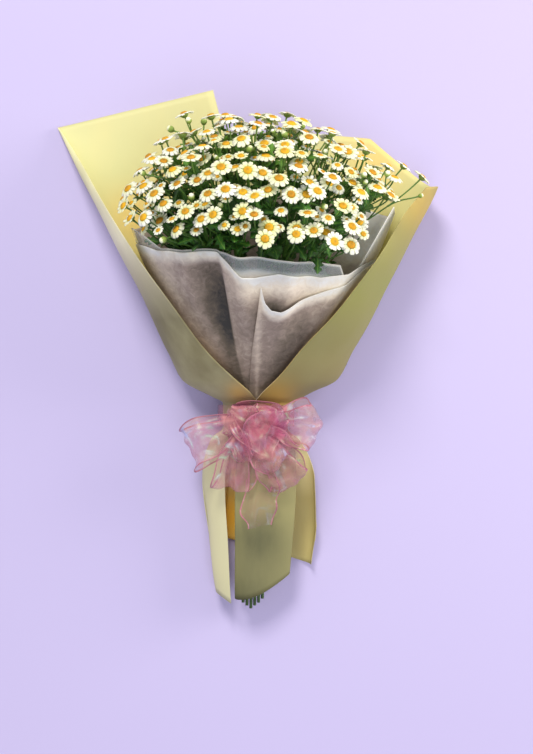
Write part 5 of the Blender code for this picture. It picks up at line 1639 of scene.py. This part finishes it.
def tissue_looks(name, grid):
    """Tone of painted light and shade, from 0 in deep folds to 1 at bright rims, and how sheer each point is.
    """
    x, y, share, down = grid[..., 0], grid[..., 1], half_share(grid), from_top(grid)
    if name == "tissue_inner":
        # Painted light: the rim, partly pale as a web of its own, and the corner that stands up on the right
        # are painted bright
        in_front = ramp(grid[..., 2], *IN_FRONT)
        rim = (1 - ramp(down, 10, 26)) * (0.4 + 0.6 * ramp(down, 0.5, 2.5))
        corner = ramp(share, 0.55, 0.8) * ramp(y, 125, 150)
        return 0.45 + 0.55 * np.maximum(rim * in_front, corner), rim * in_front * (1 - 0.7 * corner)
    rim = 1 - ramp(down, 2, 16)
    if name == "tissue_left":
        # Painted shade in the big fold, the pocket under the dip and near the tie; painted light high up, at
        # the far left and at the rim
        shade = ramp(share, -0.66, -0.38) * (1 - ramp(share, *FOLD_EDGE)) * bell(y, 84, 46)
        pocket = (1 - ramp(y, 92, 110)) * bell(x, 16, 13)
        bright = (1 - ramp(down, 6, 42)) * ramp(share, -0.35, 0.1)
        tone = (0.44 - 0.46 * shade - 0.34 * pocket + 0.42 * bright + 0.12 * ramp(-share, 0.6, 0.9)
                - 0.12 * (1 - ramp(y, 10, 50)))
        return tone + (0.95 - tone) * rim, 0.3 * rim
    # Painted highlights on the folded edge, along the second layer's edge and high up; painted shade
    # mid-sheet and near the tie
    past_edge = x - (SECOND_EDGE[0] + (y - SECOND_EDGE[1]) * SECOND_EDGE[2])
    tone = (0.45 + 0.16 * bell(share, 0.03, 0.05) - 0.20 * bell(share, 0.42, 0.25) * bell(y, 62, 34)
            + 0.25 * ramp(y, 84, 120) + 0.30 * bell(past_edge, 0, 1.8) + 0.10 * ramp(past_edge, 0, 3)
            - 0.14 * (1 - ramp(y, 10, 50)))
    return tone + (0.92 - tone) * rim, 0.25 * rim


print("folds and looks are ready for sheets", TISSUE_SHOWN, "mm thick")

# %% Sheets of tissue
for name, grid, closed in (("tissue_inner", inner_tissue_grid((30, 60), 190), True),
                           ("tissue_left", left_tissue_grid((30, 60), 150), False),
                           ("tissue_right", right_tissue_grid((30, 60), 64), False)):
    shown = gathered_tissue(grid, closed)
    tone, sheer = tissue_looks(name, grid)
    piece = sheet_piece(name + "_sheet", shown, TISSUE_SHOWN, (tissue_beige,), closed, tone=tone, sheer=sheer)
    hand_over(piece, "tissue", name)

# %% [markdown]
# The ribbon is organza: a sheer, crisp weave with a pearly finish and a thin wire in each edge. Loops leave
# the knot in pairs, drawn in there and spread wide at their far ends, where the wired edges wave.

# %% Organza material
# A sheer, pearly weave: its pink drifts with the folds and deepens in the middle of the bow
organza_pink, add, shader = start_material("pearly_organza", {
    "Roughness": 0.36, "IOR": 1.45, "Coat Weight": 0.1, "Coat Roughness": 0.25, "Sheen Weight": 0.1,
    "Thin Film Thickness": 420.0, "Thin Film IOR": 1.6})
place = add("ShaderNodeTexCoord", gives="Object")
clouds = add("ShaderNodeTexNoise", {
    "Vector": place, "Scale": per_metre(42), "Detail": 1.5, "Distortion": 0.4})
pinks = add("ShaderNodeValToRGB", {"Fac": clouds}, steps=(
    (0.30, "#AC7CA6"), (0.42, "#BE7090"), (0.54, "#C47F8C"), (0.66, "#CC9C90")))
heart = add("ShaderNodeAttribute", gives="Fac", attribute_name="heart")
deeper = add("ShaderNodeMath", {0: heart, 1: 0.7}, operation="MULTIPLY")
rosy = add("ShaderNodeMix", {"Factor": deeper, "A": pinks, "B": linear("#C4527E")}, data_type="RGBA")
# Painted reflections: in patches the pink turns blue, green or violet, as where the pearly film throws
# light back, and less so near the heart
film = add("ShaderNodeTexNoise", {
    "Vector": place, "Scale": per_metre(24), "Detail": 2.0, "Distortion": 1.6})
glint = add("ShaderNodeMapRange", {"Value": film, "From Min": 0.57, "From Max": 0.72, "To Max": 0.75})
away = add("ShaderNodeMapRange", {"Value": heart, "To Min": 1.0, "To Max": 0.3})
shown_glint = add("ShaderNodeMath", {0: glint, 1: away}, operation="MULTIPLY")
hues = add("ShaderNodeValToRGB", {"Fac": clouds}, steps=(
    (0.40, "#8FE0B0"), (0.50, "#D6E8F6"), (0.60, "#9CB8F0")))
glinting = add("ShaderNodeMix", {"Factor": shown_glint, "A": rosy, "B": hues}, data_type="RGBA")
# The woven edge is closed and darker
across = add("ShaderNodeAttribute", gives="Fac", attribute_name="across")
aside = add("ShaderNodeMath", {0: across, 1: 0.5}, operation="SUBTRACT")
from_middle = add("ShaderNodeMath", {0: aside}, operation="ABSOLUTE")
edge = add("ShaderNodeMapRange", {"Value": from_middle, "From Min": 0.455, "From Max": 0.49})
edged = add("ShaderNodeMix", {"Factor": edge, "A": glinting, "B": linear("#B96E86")}, data_type="RGBA")
# One layer is see-through. Creases, the drawn-in part, glints and the edge are less so
creases = add("ShaderNodeTexNoise", {
    "Vector": place, "Scale": per_metre(16), "Detail": 3.0, "Distortion": 0.8})
veil = add("ShaderNodeMapRange", {
    "Value": creases, "From Min": 0.35, "From Max": 0.68, "To Min": 0.16, "To Max": 0.48})
body = add("ShaderNodeAttribute", gives="Fac", attribute_name="body")
single = add("ShaderNodeMath", {0: veil, 1: body}, operation="MULTIPLY")
drawn = add("ShaderNodeAttribute", gives="Fac", attribute_name="drawn")
gathered = add("ShaderNodeMath", {0: single, 1: drawn}, operation="MAXIMUM")
milky = add("ShaderNodeMath", {0: shown_glint, 1: body}, operation="MULTIPLY")
shining = add("ShaderNodeMath", {0: gathered, 1: milky}, operation="MAXIMUM")
sheer = add("ShaderNodeMath", {0: shining, 1: edge}, operation="MAXIMUM")
bumps = add("ShaderNodeBump", {"Strength": 0.35, "Distance": 0.0015, "Height": creases})
feed(shader, {"Base Color": edged, "Alpha": sheer, "Normal": bumps})
# Thread wrapped round a thin wire: opaque, with a soft shine
wire_pink, add, shader = start_material("pink_wired_edge", {
    "Roughness": 0.35, "IOR": 1.5, "Base Color": linear("#AE6C7E")})
print("ribbon is", organza_pink.name, "with", wire_pink.name)

# %% Ribbon surfaces
BOW_CENTRE = np.array([2.0, -24.0, 58.5])
UP = np.array([0.0, 0.0, 1.0])
GATHERED = 0.32
# How quickly a loop and a tail spread out from the knot, and how far a loop's two runs lie side by side
LOOP_OPENS = 1.35
TAIL_OPENS = 1.8
LOOP_SIDE_STEP = 3.5


def gather(share, quick):
    """How much of the ribbon's width is spread out: drawn in at the knot, flat further on."""
    return GATHERED + (1 - GATHERED) * math.sin(math.pi / 2 * min(1.0, share * quick))


def ribbon_grid(middles, acrosses, widths, normals, seed, columns=17, ruffle=2.0):
    """A grid along a line of middles. Folds run out from the drawn-in part and the wired edges wave."""
    rng = np.random.default_rng(seed)
    spread = (widths / np.max(widths))[:, None]
    side = np.linspace(-1, 1, columns)[None, :]
    steps = np.linspace(0, 1, len(middles))[:, None]
    phase = rng.uniform(0, math.tau, 6)
    folds = np.sin(side * 8.5 + phase[0]) * (2.6 - 1.7 * spread) + np.sin(side * 4.3 + phase[4]) * 1.5
    edge = np.abs(side) ** 1.8 * ruffle * spread * (
        np.sin(steps * 15 + phase[1] + side * 1.5) + 0.6 * np.sin(steps * 27 + phase[2] - side))
    crown = (1 - side**2) * 2.2 * np.sin(steps * 6 + phase[3])
    lift = folds + edge + crown
    in_plane = 0.07 * np.sin(steps * 19 + phase[5] + side * 2.0) * spread
    aside = (side * (1 + in_plane))[..., None] * widths[:, None, None] / 2
    grid = middles[:, None] + acrosses[:, None] * aside
    grid = grid + normals[:, None] * lift[..., None]
    return grid + normals[:, None] * (slow_wave(grid, (19, 27, 34), seed + 7) * 2.0 * spread)[..., None]


def loop_grid(loop, seed, steps=56):
    """A loop: out along its lower run, round the end and back along its upper run, which lies beside it."""
    angle, reach, width, height, rise, roll, ruffle, round_end, aside, along = loop
    base = BOW_CENTRE + (aside, along, 0.0)
    plan = math.radians(angle)
    out = np.array([math.cos(plan), math.sin(plan), rise / reach])
    flat = np.array([-math.sin(plan), math.cos(plan), 0.0])
    up = unit(np.cross(out, flat))
    turns = np.linspace(0.04, 0.96, steps) * math.tau
    rolls = np.radians(roll + 12 * np.sin(turns))[:, None]
    acrosses = flat * np.cos(rolls) + up * np.sin(rolls)
    share = (1 - np.cos(turns)) / 2
    swell = 0.35 + 0.65 * share
    middles = base + out * (reach * share)[:, None] - up * (np.sin(turns) * height / 2 * swell)[:, None]
    middles = middles + flat * (np.sin(turns) * LOOP_SIDE_STEP)[:, None]
    normals = up * (np.sin(turns) * reach)[:, None] + out * (np.cos(turns) * height * swell)[:, None]
    normals /= np.linalg.norm(normals, axis=1, keepdims=True)
    widths = np.array([width * gather(s, LOOP_OPENS) for s in share])
    grid = ribbon_grid(middles, acrosses, widths, normals, seed, ruffle=ruffle)
    side = np.linspace(-1, 1, grid.shape[1])
    rounded = (share**2)[:, None] * np.abs(side[None, :]) ** 2.5 * reach * round_end
    return grid - out * rounded[..., None]


# Each loop: direction in plan in degrees, reach, width, height, rise of its far end, roll, ruffle, how far
# back the corners of its far end are drawn as a share of its reach, and where it starts beside and along
# the knot
BOW_LOOPS = ((205, 60, 42, 24, 0, 4, 1.6, -0.03, -12, 8), (256, 60, 36, 18, -2, -8, 2.2, 0.05, -12, 0),
             (-6, 43, 44, 26, 2, -10, 2.2, 0.16, 14, 9), (-59, 54, 42, 20, 0, 10, 2.6, 0.14, 6, -8),
             (62, 26, 34, 22, 12, 14, 2.0, 0.2, 4, 0), (146, 28, 34, 22, 12, -14, 2.0, 0.2, -2, 0))
ROSE_LOOPS = ((-26, 52, 44, 26, 8, 6, 2.2, 0.1, -26, 20), (236, 46, 40, 24, 14, -10, 2.2, 0.1, 22, 18),
              (-50, 46, 44, 28, 14, 10, 2.4, 0.1, -4, 6), (-72, 48, 22, 14, 12, 50, 1.6, 0.1, -24, 16))


def tail_ribbon(angle, reach, width, fall, seed, steps=44):
    """A free end of the ribbon that waves and turns over towards its tip."""
    plan = math.radians(angle)
    out = np.array([math.cos(plan), math.sin(plan), 0.0])
    aside = np.array([-out[1], out[0], 0.0])
    share = np.linspace(0.05, 1, steps)
    heights = fall * share + 3.5 * np.sin(share * 8) * share
    sway = 6.0 * np.sin(share * 5.0) * share
    middles = BOW_CENTRE + out * (reach * share)[:, None] + aside * sway[:, None] + UP * heights[:, None]
    twist = np.radians(42 * np.sin(share * 4.6))
    across = aside * np.cos(twist)[:, None] + UP * np.sin(twist)[:, None]
    normals = np.cross(np.gradient(middles, axis=0), across)
    normals /= np.linalg.norm(normals, axis=1, keepdims=True)
    widths = np.array([width * gather(s, TAIL_OPENS) for s in share])
    return ribbon_grid(middles, across, widths, normals, seed, ruffle=3.0)


# Each length of ribbon and how much body it has: the tail is a single layer
ribbon_grids = [loop_grid(loop, 60 + k) for k, loop in enumerate(BOW_LOOPS + ROSE_LOOPS)]
ribbon_grids.append(tail_ribbon(-86, 92, 34, -6, 80))
bodies = [1.0] * (len(ribbon_grids) - 1) + [0.35]
print(len(ribbon_grids), "lengths of ribbon")

# %% Bow
WIRE_RADIUS = 0.33
# The heart of the bow lies a little beside its centre, and its colour fades out between these distances
HEART_ASIDE = (4, 2)
HEART_REACH = (12, 42)


def veil_piece(name, grids, bodies, material):
    """Single skins from grids, joined in one piece, with the attributes that the organza reads."""
    points, faces, across, drawn, heart, body = [], [], [], [], [], []
    for grid, weight in zip(grids, bodies):
        rows, columns, _ = grid.shape
        faces += grid_faces(rows, columns, start=len(points))
        points += list(in_frame(grid.reshape(-1, 3)))
        across += list(np.tile(np.linspace(0, 1, columns), rows))
        widths = np.linalg.norm(grid[:, -1] - grid[:, 0], axis=1)
        drawn += list(np.repeat(ramp(1 - widths / widths.max(), 0.22, 0.35) * 0.92, columns))
        from_knot = np.linalg.norm(grid[..., :2] - BOW_CENTRE[:2] - HEART_ASIDE, axis=2).ravel()
        heart += list(1 - ramp(from_knot, *HEART_REACH))
        body += [weight] * (rows * columns)
    mesh = plain_mesh(name, points, (), faces, across=np.array(across, float), drawn=np.array(drawn, float),
                      heart=np.array(heart, float), body=np.array(body, float))
    mesh.materials.append(material)
    mesh.shade_smooth()
    return as_object(name, mesh)


bow = veil_piece("bow_ribbon", ribbon_grids, bodies, organza_pink)
hand_over(bow, "ribbon", "ribbon_bow")
edges = [grid[:, side] for grid in ribbon_grids for side in (0, -1)]
wires = grown("bow_wires", lines_mesh(edges, [np.full(len(e), WIRE_RADIUS) for e in edges]), thicken,
              {"Sides": 5, "Material": wire_pink})
hand_over(wires, "ribbon")

# %% Ribbon round the neck
BAND_INNER = (37.2, 17.6)
BAND_HEIGHT = 24.6
BAND_RUN = (-20.6, 0.6)

around = np.linspace(0, math.tau, 121)
rows_y = np.linspace(*BAND_RUN, 21)
pleats = 0.5 + 0.35 * np.sin(rows_y * 1.9)
band_grid = np.stack([np.stack([(BAND_INNER[0] + p) * np.cos(around), np.full_like(around, y),
                                BAND_HEIGHT + (BAND_INNER[1] + p) * np.sin(around)], axis=1)
                      for p, y in zip(pleats, rows_y)])
band = veil_piece("band_ribbon", [band_grid], [1.0], organza_pink)
hand_over(band, "ribbon", "ribbon_band")

# %% [markdown]
# The tie itself is florist's tape. Its solid is right as it is and only needs its finish.

# %% Tape on the stems
# Stretched paraffin tape: dull green, with fine ridges from its crepe.
tape_green, add, shader = start_material("green_florist_tape", {"Roughness": 0.65})
place = add("ShaderNodeTexCoord", gives="Object")
crepe = add("ShaderNodeTexNoise", {"Vector": place, "Scale": per_metre(1.2), "Detail": 3.0})
greens = add("ShaderNodeValToRGB", {"Fac": crepe}, steps=((0.3, "#1F4A2A"), (0.7, "#2F6238")))
bumps = add("ShaderNodeBump", {"Strength": 0.4, "Distance": 0.0003, "Height": crepe})
feed(shader, {"Base Color": greens, "Normal": bumps})
tie = frame["nodes"]["stem_tie"]
tie.data.materials.clear()
tie.data.materials.append(tape_green)
print("tape is", tape_green.name)

# %% [markdown]
# The last cell compares the finished bunch with the imported solids.

# %% Finish
seen_box = [list(corner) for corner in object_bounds()]
for name, (a, b), (c, d) in zip("XYZ", zip(*cad_box), zip(*seen_box)):
    print(name, "solids from", round(a / MM, 1), "to", round(b / MM, 1), "mm, pieces from", round(c / MM, 1),
          "to", round(d / MM, 1), "mm")
